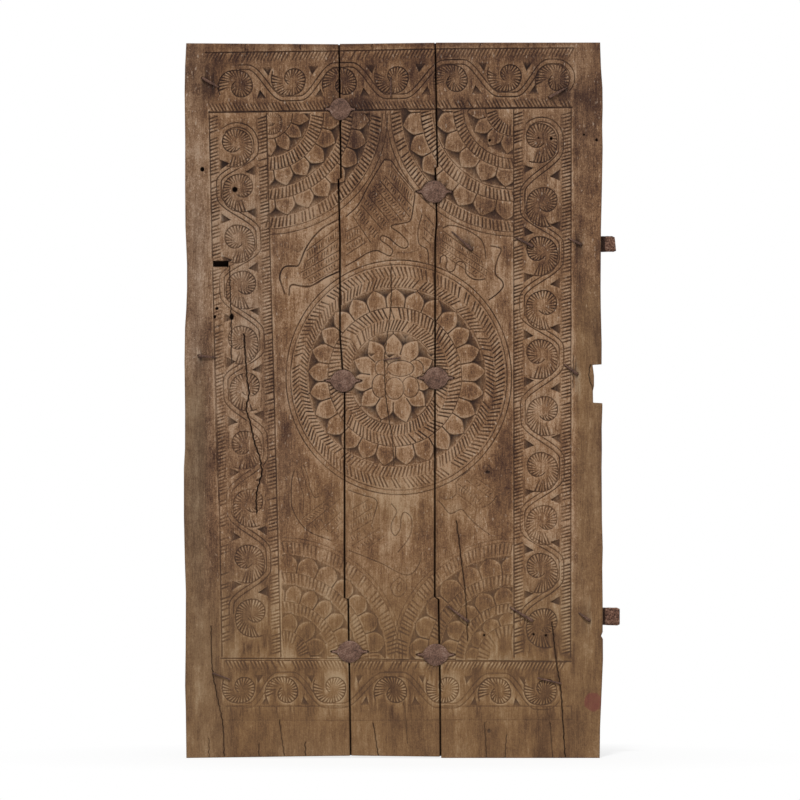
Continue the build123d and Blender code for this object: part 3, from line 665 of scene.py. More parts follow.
# Calm wood: the handled foot, the margins low down and the plain field have little grain left
calm_map = ease((grid_v - 500) / 150) + 0 * grid_u
calm_map = np.maximum(calm_map, 0.85 * ease((210 - grid_u) / 8) * ease((grid_v - 350) / 60))
calm_map = np.maximum(calm_map, 0.8 * ease((grid_u - 572) / 8) * ease((grid_v - 265) / 40))
calm_map = np.maximum(calm_map, 0.55 * patch(390, 510, 110, 40))
# Dirt lies unevenly in the cuts: thick in the forks of petals and chips, rubbed out in the handled places
soil_map = 0.74 + 0.3 * cloud(20, 34, 41) + 0.12 * cloud(60, 100, 42)
for u, v, half_u, half_v, amount in (
    (390, 105, 150, 45, 0.12), (540, 180, 40, 90, 0.08), (235, 500, 30, 80, -0.36), (245, 610, 30, 50, -0.2),
    (390, 690, 220, 36, -0.3), (265, 370, 7, 110, -0.35), (522, 370, 8, 90, -0.25), (520, 54, 60, 8, -0.25),
    (385, 128, 22, 18, -0.25), (330, 560, 50, 60, -0.15), (470, 560, 50, 70, -0.1), (395, 375, 70, 75, 0.14),
    (448, 345, 12, 26, 0.3), (500, 395, 10, 60, 0.22), (478, 300, 22, 20, 0.2), (310, 330, 20, 40, -0.1),
    (400, 480, 50, 14, -0.2), (330, 160, 60, 40, 0.1), (213, 450, 8, 90, -0.22), (545, 400, 14, 120, -0.15),
    (520, 420, 8, 80, -0.12), (484, 362, 9, 26, -0.25), (285, 585, 20, 60, -0.15), (542, 600, 32, 45, -0.2),
):
    soil_map = soil_map + amount * patch(u, v, half_u, half_v)
soil_map = np.clip(soil_map, 0.3, 1.05)
groove_map = np.clip(hollow / 0.0009, 0, 1) ** 0.8 * soil_map
chip_soil = np.clip(firmness, 0.3, 1) * np.clip(soil_map + 0.3, 0, 1) * (1 - 0.35 * calm_map)
# The dirt layer adds dirt in the chips and petal forks and painted shadows beside the clamps, nails and staples; the
# deep layer adds dark cracks and painted shade inside the holes, the key slot and the pockets at the clamp tips
groove_map = np.maximum(groove_map, carving.dirt_and_shade * chip_soil)
groove_map = np.maximum(groove_map, np.clip(carving.deep / 2.2, 0, 1))
# Raised edges are paler: rubbed wear, and painted highlights along the edges of the carving
face_map = (carving.relief - carving.cut) * 0.001
rub_and_highlight_map = np.clip((face_map - soften(face_map, 4)) / 0.0005, 0, 1)

# Stains: soft ovals of dark dirt (above zero) and of rubbed pale wood (below zero)
STAINS = (
    (395, 75, 110, 45, 0.4), (290, 76, 60, 22, 0.15), (390, 195, 45, 40, 0.4), (580, 115, 20, 30, 0.4),
    (200, 80, 14, 20, 0.15), (215, 78, 26, 14, 0.4), (540, 250, 30, 35, 0.4), (560, 85, 22, 16, 0.5),
    (505, 480, 16, 55, 0.5), (330, 510, 8, 26, 0.4), (285, 470, 14, 20, 0.3), (435, 330, 25, 60, 0.25),
    (205, 330, 12, 40, 0.45), (200, 470, 12, 70, 0.3), (584, 92, 16, 22, 0.42), (592, 335, 9, 20, 0.25), (198, 52, 12, 9, 0.22), (566, 92, 9, 12, 0.55),
    (357, 106, 10, 14, 0.7), (204, 84, 9, 12, 0.35), (352, 132, 7, 26, 0.4), (372, 110, 30, 40, 0.2),
    (450, 60, 90, 22, 0.2), (235, 54, 40, 8, 0.4), (268, 54, 10, 10, 0.5), (215, 125, 9, 40, 0.6),
    (288, 130, 16, 30, 0.45), (390, 140, 26, 36, 0.6), (545, 150, 30, 90, 0.15), (232, 520, 28, 80, 0.45),
    (266, 600, 8, 34, 0.45), (500, 570, 40, 60, 0.3), (390, 690, 110, 26, 0.15), (548, 655, 30, 8, 0.3),
    (240, 340, 20, 30, 0.25), (480, 270, 24, 24, 0.3), (400, 650, 60, 20, 0.1), (380, 54, 14, 8, 0.2),
    (520, 54, 50, 9, 0.25), (265, 80, 8, 20, 0.22), (380, 80, 14, 18, 0.22), (400, 106, 190, 7, 0.3),
    (520, 130, 50, 30, 0.25), (545, 190, 24, 50, 0.28), (243, 195, 14, 20, 0.2), (465, 240, 40, 30, 0.28),
    (490, 310, 45, 30, 0.27), (198, 345, 9, 26, 0.22), (380, 340, 14, 24, 0.22), (452, 400, 16, 60, 0.28),
    (525, 670, 18, 40, 0.4), (240, 670, 32, 40, 0.28), (345, 738, 14, 16, 0.28), (219, 738, 10, 16, 0.3),
    (485, 690, 24, 34, 0.2), (266, 590, 7, 20, 0.25), (232, 560, 26, 60, 0.15), (380, 160, 14, 34, 0.22),
    (400, 715, 16, 20, 0.15), (244, 455, 14, 18, 0.33), (250, 645, 26, 20, 0.2), (400, 685, 26, 20, 0.15), (505, 690, 28, 30, 0.2), (265, 400, 7, 50, 0.2), (510, 500, 40, 35, 0.25), (265, 170, 8, 60, 0.15),
    (566, 657, 5, 5, 0.9), (524, 636, 9, 12, 0.4), (545, 640, 22, 12, 0.3),
    (320, 400, 40, 50, -0.25), (400, 440, 60, 40, -0.25), (300, 590, 40, 40, -0.2), (400, 330, 60, 60, -0.3),
    (590, 560, 16, 120, -0.2), (415, 290, 20, 45, -0.35), (415, 400, 26, 60, -0.25), (265, 305, 9, 26, -0.45),
    (365, 505, 70, 35, -0.25), (320, 56, 20, 10, -0.3), (322, 80, 16, 20, -0.2), (578, 610, 24, 40, -0.25), (586, 425, 12, 34, -0.28), (556, 740, 16, 12, -0.28),
    (196, 172, 12, 40, -0.7), (196, 290, 10, 22, -0.25), (216, 412, 8, 18, -0.2), (525, 380, 30, 40, -0.2), (290, 300, 22, 40, -0.28), (350, 300, 20, 50, -0.15),
    (218, 335, 9, 14, -0.27), (420, 580, 30, 50, -0.27), (446, 535, 12, 20, -0.25), (352, 385, 10, 20, -0.2), (318, 600, 14, 40, -0.17), (197, 680, 9, 50, -0.3),
)
stain_map = 0.35 * cloud(14, 9, 21) + 0.2 * cloud(46, 20, 22)
for u, v, half_u, half_v, amount in STAINS:
    stain_map = stain_map + amount * patch(u, v, half_u, half_v)
grey_map = 0.75 * patch(196, 380, 14, 330) + 0.35 * patch(240, 330, 40, 160) + 0.2 * cloud(12, 8, 31)
warm_map = patch(400, 520, 120, 260) + 0.6 * patch(400, 690, 180, 60)
grey_map = np.clip(grey_map - 0.35 * warm_map + 0.15, 0, 1)


def sample(field, u, v):
    """Canvas values at drawing places, blended between the four nearest cells."""
    at_u = np.clip((u - CANVAS_U) / CANVAS_STEP, 0, CANVAS_COLUMNS - 1.001)
    at_v = np.clip((v - CANVAS_V) / CANVAS_STEP, 0, CANVAS_ROWS - 1.001)
    iu, iv = at_u.astype(int), at_v.astype(int)
    fu, fv = at_u - iu, at_v - iv
    top = field[iv, iu] * (1 - fu) + field[iv, iu + 1] * fu
    low = field[iv + 1, iu] * (1 - fu) + field[iv + 1, iu + 1] * fu
    return top * (1 - fv) + low * fv


def new_mesh(name, points, faces):
    """A mesh from an array of points and a list of face arrays, each with one row of corners per face."""
    mesh = bpy.data.meshes.new(name)
    mesh.vertices.add(len(points))
    mesh.vertices.foreach_set("co", np.ascontiguousarray(points, np.float32).ravel())
    corners = np.concatenate([rows.ravel() for rows in faces]).astype(np.int32)
    sizes = np.concatenate([np.full(len(rows), rows.shape[1]) for rows in faces])
    starts = np.concatenate([[0], np.cumsum(sizes)[:-1]]).astype(np.int32)
    mesh.loops.add(len(corners))
    mesh.loops.foreach_set("vertex_index", corners)
    mesh.polygons.add(len(starts))
    mesh.polygons.foreach_set("loop_start", starts)
    mesh.update(calc_edges=True)
    mesh.validate()
    return mesh


def new_piece(name, mesh, material, replaced):
    """An object of a mesh that rides on the leaf and stands for a solid."""
    piece = bpy.data.objects.new(name, mesh)
    bpy.context.collection.objects.link(piece)
    mesh.materials.clear()
    mesh.materials.append(material)
    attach(piece, "root")
    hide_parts(replaced)
    return piece


class Value:
    """A shader value: arithmetic on it adds Math nodes to its finish."""

    def __init__(self, finish, socket):
        self.finish, self.socket = finish, socket

    def math(self, operation, *values):
        return self.finish.node("ShaderNodeMath", {"operation": operation}, dict(enumerate(values)))

    def __add__(self, other):
        return self.math("ADD", self, other)

    def __sub__(self, other):
        return self.math("SUBTRACT", self, other)

    def __rsub__(self, other):
        return self.math("SUBTRACT", other, self)

    def __mul__(self, other):
        return self.math("MULTIPLY", self, other)

    def __pow__(self, other):
        return self.math("POWER", self, other)

    __radd__, __rmul__ = __add__, __mul__

    def clamp(self):
        return self.finish.node("ShaderNodeClamp", {}, {"Value": self})


class Finish:
    """A material made of nodes, with one method that adds any node."""

    def __init__(self, name):
        self.material = bpy.data.materials.new(name)
        self.material.use_nodes = True
        self.tree = self.material.node_tree
        self.shader = self.tree.nodes["Principled BSDF"]

    def node(self, kind, settings, inputs, output=0):
        """A node of a type, with its settings set first, then its sockets given values or links."""
        made = self.tree.nodes.new(kind)
        for key, value in settings.items():
            if key == "stops":
                ramp = made.color_ramp.elements
                while len(ramp) < len(value):
                    ramp.new(0.5)
                for element, (place, colour) in zip(ramp, value):
                    element.position, element.color = place, (*colour, 1)
            else:
                setattr(made, key, value)
        for key, value in inputs.items():
            self.feed(made.inputs[key], value)
        return Value(self, made.outputs[output])

    def feed(self, socket, value):
        """Gives a socket a link or a plain value."""
        if isinstance(value, Value):
            self.tree.links.new(value.socket, socket)
        else:
            socket.default_value = value

    def colour_mix(self, share, first, second, blend="MIX"):
        """Two colours blended by a share."""
        return self.node(
            "ShaderNodeMix", {"data_type": "RGBA", "blend_type": blend}, {0: share, 6: first, 7: second}, 2
        )

    def noise(self, vector, scale, detail=3.0, roughness=0.55):
        """Noise about a middle of one half."""
        return self.node(
            "ShaderNodeTexNoise", {}, {"Vector": vector, "Scale": scale, "Detail": detail, "Roughness": roughness}
        )

    def attribute(self, name):
        """The piece's own number of a name."""
        return self.node("ShaderNodeAttribute", {"attribute_name": name}, {}, 2)

    def place(self, scale=(1, 1, 1), location=(0, 0, 0)):
        """Object coordinates, scaled and moved."""
        coords = self.node("ShaderNodeTexCoord", {}, {}, 3)
        return self.node("ShaderNodeMapping", {}, {"Vector": coords, "Location": location, "Scale": scale})

    def use(self, **sockets):
        """Feeds the shader's own sockets, named with underscores for spaces."""
        for key, value in sockets.items():
            self.feed(self.shader.inputs[key.replace("_", " ")], value)
        return self.material


# Colours, linear
WOOD_DARK = (0.044, 0.0195, 0.013)
WOOD_BROWN = (0.122, 0.0595, 0.031)
WOOD_TAN = (0.220, 0.1145, 0.0545)
WOOD_PALE = (0.385, 0.250, 0.155)
GREY_DARK = (0.075, 0.043, 0.028)
GREY_BROWN = (0.175, 0.109, 0.070)
GREY_TAN = (0.262, 0.178, 0.122)
GREY_PALE = (0.400, 0.300, 0.225)
CHALK = (0.440, 0.350, 0.275)
# Dirt in the cuts, also the colour of painted shade in holes and painted shadows beside the iron
DIRT_AND_SHADE = (0.0215, 0.0128, 0.0108)
DUST = (0.150, 0.092, 0.058)
HANDLED_TINT = (0.93, 1.0, 0.92)
OLD_RED = (0.158, 0.040, 0.036)
RED_SPOT = (0.4565, -0.0405, 0.1344)
RED_RADIUS = 0.0235
IRON_DARK = (0.036, 0.021, 0.017)
IRON_BROWN = (0.108, 0.057, 0.039)
IRON_RUST = (0.186, 0.104, 0.072)
IRON_PALE = (0.272, 0.190, 0.152)
BATTEN_DARK = (0.026, 0.012, 0.008)
BATTEN_BROWN = (0.115, 0.055, 0.036)
BATTEN_RED = (0.245, 0.128, 0.086)
# Leaf's right edge, and the width of the painted shade beside it on the batten ends
LEAF_EDGE_X = 0.4785
CORNER_SHADE = 0.0095
BATTEN_PALE = (0.330, 0.225, 0.170)


def rgba(colour):
    """A colour with full alpha."""
    return (*colour, 1)


def plank_finish(name, shift):
    """Weathered wood: grain, scratches, patches of dirt, pale rub on raised edges with painted highlights there, dark
    grooves with painted shade in holes and painted shadows beside the iron, grey margins, an old red spot.
    """
    finish = Finish(name)
    plain = finish.place()
    sway = finish.noise(finish.place((1, 1, 0.35), (shift, 0, shift)), 7, 2)
    grain_place = finish.node(
        "ShaderNodeVectorMath",
        {"operation": "MULTIPLY_ADD"},
        {0: finish.node("ShaderNodeCombineXYZ", {}, {0: sway}), 1: (0.03, 0, 0), 2: finish.place((1, 1, 0.045), (shift, 0, shift))},
    )
    fine = finish.noise(grain_place, 520, 4, 0.65)
    broad = finish.noise(grain_place, 70, 4, 0.6)
    mottle = finish.noise(finish.place((1, 1, 0.6), (shift, 0, shift)), 30, 6, 0.66)
    speck = finish.noise(plain, 260, 3, 0.7)
    grit = finish.noise(finish.place((1, 1, 0.5)), 620, 2, 0.6)
    stain = finish.attribute("stain")
    groove = finish.attribute("groove")
    rub = finish.attribute("rub")
    grey = finish.attribute("grey")
    calm = finish.attribute("calm")

    def flecks(place, scale, low, high):
        return finish.node(
            "ShaderNodeMapRange", {}, {"Value": finish.noise(place, scale, 2, 0.5), "From Min": low, "From Max": high}
        )

    pores = flecks(grain_place, 900, 0.56, 0.72)
    scratches = flecks(finish.place((1, 1, 0.16), (shift, 0, 3 + shift)), 330, 0.62, 0.72)
    chalk = flecks(finish.place((1, 1, 0.5), (0, 0, 9)), 190, 0.66, 0.76)
    grain = (fine - 0.5) * 0.85 + (broad - 0.5) * 0.5 + (mottle - 0.5) * 1.1 - pores * 0.18
    dust = (speck - 0.5) * 0.9 + (grit - 0.5) * 0.8 + scratches * 0.16 + chalk * 0.26
    tone = (0.51 + grain * (1 - 0.42 * calm) + dust * (1 - 0.6 * calm) - stain * 0.42 + rub * (0.3 + 0.12 * calm)).clamp()
    wood = finish.node(
        "ShaderNodeValToRGB",
        {"stops": ((0.08, WOOD_DARK), (0.38, WOOD_BROWN), (0.62, WOOD_TAN), (0.95, WOOD_PALE))},
        {"Fac": tone},
    )
    greyed = finish.node(
        "ShaderNodeValToRGB",
        {"stops": ((0.08, GREY_DARK), (0.38, GREY_BROWN), (0.62, GREY_TAN), (0.95, GREY_PALE))},
        {"Fac": tone},
    )
    wood = finish.colour_mix((grey * (0.6 + (mottle - 0.5) * 1.2)).clamp(), wood, greyed)
    wood = finish.colour_mix((chalk * (0.5 - 0.48 * calm)).clamp(), wood, rgba(CHALK))
    wood = finish.colour_mix(calm * 0.8, wood, rgba(HANDLED_TINT), "MULTIPLY")
    # The groove share mixes in dirt, dustier where calm, and with it the painted shade and painted shadows
    soil = finish.colour_mix(calm * 0.4, rgba(DIRT_AND_SHADE), rgba(DUST))
    wood = finish.colour_mix((groove * (0.98 + (speck - 0.5) * 0.8)).clamp() * 0.95, wood, soil)
    away = finish.node("ShaderNodeVectorMath", {"operation": "DISTANCE"}, {0: plain, 1: RED_SPOT}, "Value")
    rough_edge = away + (mottle - 0.5) * 0.012 + (speck - 0.5) * 0.006
    red = finish.node(
        "ShaderNodeMapRange", {}, {"Value": rough_edge, "From Min": RED_RADIUS, "From Max": 0.86 * RED_RADIUS}
    )
    wood = finish.colour_mix((red * (0.62 + (speck - 0.5) * 0.9)).clamp(), wood, rgba(OLD_RED))
    bump = finish.node(
        "ShaderNodeBump",
        {},
        {"Strength": 0.7, "Distance": 0.0014, "Height": fine * 0.7 + broad * 0.4 + speck * 0.5 + grit * 0.4},
    )
    return finish.use(
        Base_Color=wood, Roughness=(0.72 + (fine - 0.5) * 0.3 + groove * 0.2).clamp(), Normal=bump, Specular_IOR_Level=0.14
    )


def batten_finish(name, depth):
    """Rough red-brown wood: grain along the batten, grey bloom, dark flecks, painted shade beside the leaf; depth
    darkens it.
    """
    finish = Finish(name)
    grain = finish.noise(finish.place((0.05, 1, 1)), 420, 4, 0.65)
    broad = finish.noise(finish.place((0.12, 1, 1)), 60, 4, 0.6)
    speck = finish.noise(finish.place(), 210, 4, 0.75)
    tone = (0.48 - depth + (grain - 0.5) * 0.9 + (broad - 0.5) * 0.8 + (speck - 0.5) * 2.6).clamp()
    wood = finish.node(
        "ShaderNodeValToRGB",
        {"stops": ((0.1, BATTEN_DARK), (0.4, BATTEN_BROWN), (0.62, BATTEN_RED), (0.92, BATTEN_PALE))},
        {"Fac": tone},
    )
    # Painted shade on the batten's end beside the leaf's edge, where the leaf shades it
    across = finish.node("ShaderNodeSeparateXYZ", {}, {"Vector": finish.place()})
    corner = finish.node(
        "ShaderNodeMapRange",
        {"interpolation_type": "SMOOTHSTEP"},
        {"Value": across, "From Min": LEAF_EDGE_X + CORNER_SHADE, "From Max": LEAF_EDGE_X + 0.7 * CORNER_SHADE},
    )
    wood = finish.colour_mix(corner * 0.85, wood, rgba(BATTEN_DARK))
    bump = finish.node("ShaderNodeBump", {}, {"Strength": 0.7, "Distance": 0.0016, "Height": grain + speck * 0.7})
    return finish.use(Base_Color=wood, Roughness=(0.8 + (speck - 0.5) * 0.3).clamp(), Normal=bump, Specular_IOR_Level=0.2)


def iron_finish(name, depth):
    """Forged iron gone brown: pits, rust bloom and rubbed grey, darkened by a depth of tone."""
    finish = Finish(name)
    pit = finish.noise(finish.place(), 330, 4, 0.75)
    bloom = finish.noise(finish.place(), 60, 4, 0.6)
    tone = (0.5 - depth + (pit - 0.5) * 2.0 + (bloom - 0.5) * 1.0).clamp()
    iron = finish.node(
        "ShaderNodeValToRGB",
        {"stops": ((0.12, IRON_DARK), (0.42, IRON_BROWN), (0.68, IRON_RUST), (0.97, IRON_PALE))},
        {"Fac": tone},
    )
    bump = finish.node("ShaderNodeBump", {}, {"Strength": 0.6, "Distance": 0.0012, "Height": pit + bloom * 0.5})
    return finish.use(
        Base_Color=iron, Roughness=(0.68 + (pit - 0.5) * 0.4).clamp(), Metallic=0.1, Normal=bump, Specular_IOR_Level=0.2
    )


# Plank edges from the top to the foot, in drawing places
LEFT_EDGE = (
    (186.2, 42), (185, 66), (184.5, 92), (185.1, 140), (185, 186), (185.3, 226), (186.9, 264), (186.9, 288), (186.2, 308),
    (184.9, 328), (184.4, 362), (185, 410), (184.9, 448), (183.8, 468), (183.8, 516), (184.7, 560), (185.8, 592),
    (185.5, 650), (185, 686), (185.7, 710), (186.3, 758),
)
LEFT_JOINT = (
    (339, 43), (341, 178), (338.4, 179.4), (340, 240), (340, 335), (342.4, 368), (344.6, 394), (344.6, 598), (348.2, 599.4),
    (349.5, 680), (350.7, 755.2),
)
RIGHT_JOINT = (
    (435.2, 43), (437.5, 166.8), (435.2, 168.2), (436.8, 221), (435.2, 240), (434.8, 597), (438.5, 599.6), (440, 680),
    (440.5, 758),
)
RIGHT_EDGE = (
    (600.2, 42.4), (601.1, 68), (602.6, 88), (602.8, 108), (602.3, 126), (602.8, 148), (602, 190), (601.1, 228), (600.7, 288),
    (600.9, 308), (601.8, 344), (601.7, 364.4), (592.6, 364.9), (593.3, 369.5), (594.1, 376), (594.1, 386), (593, 391),
    (593.2, 402.6), (602.5, 403.1), (602.5, 408), (601.8, 428), (602, 450), (601.7, 468), (602.1, 520), (602.9, 548),
    (602.4, 568), (602.8, 600), (602.8, 632), (601.2, 636), (603, 639), (603.1, 660), (601.9, 688), (600.2, 728), (599.8, 758),
)
JOINT_HALF = 0.75
PLANK_TOPS = ((43.2, 44.2), (43.9, 42.7), (42.6, 42.5))
PLANK_FEET = ((758, 755.8), (755.6, 756.6), (758, 758))
GRID = 0.00105
ARRIS = 0.0032
EDGE_FADE = 0.045
BACK_COLUMNS = 14
BACK_ARRIS = 0.012
TRIANGLES = 197000

# Long sides of a plank behind its carved edge: steps across and depths, from the front; the last step holds to the back
PLAIN_SIDE = ((0, 0.015), (0, 0.030))
TONGUE_SIDE = ((0, 0.0223), (0.0105, 0.0223))
REBATE_SIDE = ((0, 0.022), (0.0075, 0.022))


def edge_at(points, v):
    """Drawing place across the leaf of an edge line at each height."""
    points = np.array(points)
    return np.interp(v, points[:, 1], points[:, 0])


def plank_mesh(name, left_edge, right_edge, left_gap, right_gap, top_v, foot_v, left_side, right_side):
    """A closed plank: level loops stacked from the foot up, each a carved front row, a side, a back row and a side.

    Front points are the canvas height at their place, less a rounded arris near the edges; columns near an edge
    follow its line and fade to straight. The sides step across and back as the lapped joints do.
    """
    foot_low, top_high = z_of(max(foot_v)), z_of(min(top_v))
    levels = np.linspace(foot_low, top_high, int((top_high - foot_low) / GRID))
    if right_edge is RIGHT_EDGE:
        notch = [z_of(v) + shift for v in (364.65, 402.85) for shift in (-0.0004, 0.0004)]
        levels = np.unique(np.concatenate([levels, notch]))
    level_v = v_of(levels)
    left = x_of(edge_at(left_edge, level_v) + left_gap)
    right = x_of(edge_at(right_edge, level_v) - right_gap)
    left_mean, right_mean = np.median(left), np.median(right)
    columns = np.linspace(left_mean, right_mean, int((right_mean - left_mean) / GRID))
    near_left = ease(1 - (columns - left_mean) / EDGE_FADE)[None, :]
    near_right = ease(1 - (right_mean - columns) / EDGE_FADE)[None, :]
    x = columns[None, :] + (left - left_mean)[:, None] * near_left + (right - right_mean)[:, None] * near_right

    foot_fade = ease(1 - (levels - foot_low) / EDGE_FADE)[:, None]
    foot_rise = z_of(np.interp(columns, (left_mean, right_mean), foot_v)) - foot_low
    top_fade = ease(1 - (top_high - levels) / EDGE_FADE)[:, None]
    top_drop = z_of(np.interp(columns, (left_mean, right_mean), top_v)) - top_high
    z = levels[:, None] + foot_rise[None, :] * foot_fade + top_drop[None, :] * top_fade
    height = sample(height_map, u_of(x), v_of(z))
    inset = np.minimum(x - left[:, None], right[:, None] - x)
    inset = np.minimum(inset, np.minimum(z - foot_low - foot_rise[None, :], top_high + top_drop[None, :] - z) + 0.0006)
    round_off = 1 - np.clip(inset / ARRIS, 0, 1)
    height = height - ARRIS * (1 - np.sqrt(np.clip(1 - round_off**2, 0, 1)))
    front = np.stack([x, FACE_Y - height, z], -1)

    share = np.concatenate([[0], np.linspace(BACK_ARRIS, 1 - BACK_ARRIS, BACK_COLUMNS), [1]])[None, :]
    back_x = (right + right_side[-1][0])[:, None] * (1 - share) + (left + left_side[-1][0])[:, None] * share
    back_z = levels[:, None] + np.interp(1 - share, (0, 1), (foot_rise[0], foot_rise[-1])) * foot_fade
    back_z = back_z + np.interp(1 - share, (0, 1), (top_drop[0], top_drop[-1])) * top_fade
    wave = 0.0006 * np.sin(17 * back_x + 9 * np.sin(5 * back_z)) * np.sin(6.3 * back_z + 40 * back_x)
    worn_back = ARRIS * ((share == 0) | (share == 1))
    rear = np.stack([back_x, PLANK_BACK_Y - 0.0006 + wave - worn_back, back_z], -1)

    def side_wall(corner, steps):
        places = [np.stack([corner[:, 0] + step, np.full(len(levels), FACE_Y + depth), corner[:, 2]], -1) for step, depth in steps]
        return np.stack(places, 1)

    right_wall = side_wall(front[:, -1], right_side)
    left_wall = side_wall(front[:, 0], left_side)[:, ::-1]
    loop = np.concatenate([front, right_wall, rear, left_wall], 1)
    index = np.arange(loop.shape[0] * loop.shape[1]).reshape(loop.shape[:2])
    following = np.roll(index, -1, axis=1)
    quads = np.stack([index[:-1], following[:-1], following[1:], index[1:]], -1).reshape(-1, 4)
    return new_mesh(name, loop.reshape(-1, 3), [index[-1][None, :], index[0, ::-1][None, :], quads])


def thin(mesh, triangles):
    """The mesh with its flat runs collapsed, down to a number of triangles."""
    holder = bpy.data.objects.new("thinning", mesh)
    bpy.context.collection.objects.link(holder)
    collapse = holder.modifiers.new("collapse", "DECIMATE")
    collapse.ratio = min(1.0, triangles / sum(len(p.vertices) - 2 for p in mesh.polygons))
    collapse.use_collapse_triangulate = True
    result = bpy.data.meshes.new_from_object(holder.evaluated_get(bpy.context.evaluated_depsgraph_get()))
    bpy.data.objects.remove(holder)
    bpy.data.meshes.remove(mesh)
    return result


def dress_plank(mesh):
    """Gives a plank's points their shares of dirt and painted shade, of rub and painted highlight, of stain, grey and
    calm from the canvas; joints are dark inside.
    """
    points = np.empty(len(mesh.vertices) * 3, np.float32)
    mesh.vertices.foreach_get("co", points)
    points = points.reshape(-1, 3)
    u, v = u_of(points[:, 0]), v_of(points[:, 2])
    sunk = points[:, 1] - FACE_Y
    ahead = 1 - ease((points[:, 1] - PLANK_BACK_Y + 0.008) / 0.006)
    joint = np.minimum(np.abs(u - edge_at(LEFT_JOINT, v)), np.abs(u - edge_at(RIGHT_JOINT, v)))
    inside_joint = ease((sunk - 0.003) / 0.005) * ease((7 - joint) / 2) * ahead
    shares = {
        "groove": np.maximum(sample(groove_map, u, v) * ahead, inside_joint),
        "rub": sample(rub_and_highlight_map, u, v) * ahead,
        "stain": sample(stain_map, u, v),
        "grey": sample(grey_map, u, v) * ahead + 0.3 * (1 - ahead),
        "calm": sample(calm_map, u, v),
    }
    for name, values in shares.items():
        layer = mesh.attributes.new(name, "FLOAT", "POINT")
        layer.data.foreach_set("value", values.astype(np.float32))
    mesh.polygons.foreach_set("use_smooth", np.ones(len(mesh.polygons), bool))
    mesh.set_sharp_from_angle(angle=np.radians(48))


PLANKS = (
    ("plank_left", LEFT_EDGE, LEFT_JOINT, 0, JOINT_HALF, PLAIN_SIDE, TONGUE_SIDE),
    ("plank_middle", LEFT_JOINT, RIGHT_JOINT, JOINT_HALF, JOINT_HALF, REBATE_SIDE, TONGUE_SIDE),
    ("plank_right", RIGHT_JOINT, RIGHT_EDGE, JOINT_HALF, 0, REBATE_SIDE, PLAIN_SIDE),
)
for number, (node, left_edge, right_edge, left_gap, right_gap, left_side, right_side) in enumerate(PLANKS):
    mesh = plank_mesh(
        node, left_edge, right_edge, left_gap, right_gap, PLANK_TOPS[number], PLANK_FEET[number], left_side, right_side
    )
    mesh = thin(mesh, TRIANGLES)
    dress_plank(mesh)
    material = plank_finish(f"{node}_wood", 1.7 * number)
    new_piece(f"carved_{node}", mesh, material, node)

# Iron and battens are bars: rounded square sections swept along a path
RING = 20


def bar(path, across, half_across, half_up, squareness=4.0):
    """Rows of points of a bar: at each place of a path, a superellipse section.

    One half axis lies along the fixed across direction, the other at right angles to it and to the path.
    """
    path = np.asarray(path, float)
    across = np.asarray(across, float)
    along = np.gradient(path, axis=0)
    up = np.cross(along, across)
    up /= np.linalg.norm(up, axis=1)[:, None]
    turn = np.linspace(0, 2 * np.pi, RING, endpoint=False)
    power = 2 / squareness
    side = np.sign(np.cos(turn)) * np.abs(np.cos(turn)) ** power
    rise = np.sign(np.sin(turn)) * np.abs(np.sin(turn)) ** power
    half_across = np.broadcast_to(half_across, len(path))[:, None, None]
    half_up = np.broadcast_to(half_up, len(path))[:, None, None]
    return (
        path[:, None, :]
        + across[None, None, :] * half_across * side[None, :, None]
        + up[:, None, :] * half_up * rise[None, :, None]
    )


def bars_mesh(name, bars):
    """One mesh of several closed bars, faces outward."""
    points, faces, first = [], [], 0
    for rows in bars:
        index = first + np.arange(rows.shape[0] * rows.shape[1]).reshape(rows.shape[:2])
        following = np.roll(index, -1, axis=1)
        quads = np.stack([index[:-1], following[:-1], following[1:], index[1:]], -1).reshape(-1, 4)
        caps = [index[0, ::-1][None, :], index[-1][None, :]]
        middle = rows.mean((0, 1))
        corner = [rows[:-1], np.roll(rows, -1, 1)[:-1], np.roll(rows, -1, 1)[1:]]
        volume = np.einsum("ijk,ijk->", corner[0] - middle, np.cross(corner[1] - middle, corner[2] - middle))
        made = [quads, *caps]
        faces += made if volume > 0 else [rows_of[:, ::-1] for rows_of in made]
        points.append(rows.reshape(-1, 3))
        first += index.size
    mesh = new_mesh(name, np.concatenate(points), faces)
    mesh.polygons.foreach_set("use_smooth", np.ones(len(mesh.polygons), bool))
    mesh.set_sharp_from_angle(angle=np.radians(40))
    return mesh


def on_face(place, lift):
    """The point in space over a drawing place, lifted off the carved face."""
    return np.array([x_of(place[0]), FACE_Y - lift, z_of(place[1])])


ACROSS_X, ACROSS_Z = np.array([1.0, 0, 0]), np.array([0, 0, 1.0])
CLAMP_HALF_HEIGHT, CLAMP_HALF_THICKNESS, PRONG_DEPTH = 0.026, 0.0030, 0.024
NAIL_HALF, NAIL_TIP_HALF, NAIL_LIFT = 0.0034, 0.0015, 0.0030
NAIL_HEAD_HALF, NAIL_HEAD_HEIGHT = 0.0075, 0.004
STAPLE_HALF, STAPLE_LEG = 0.0019, 0.014
BATTEN_BACK_Y = 0.0405


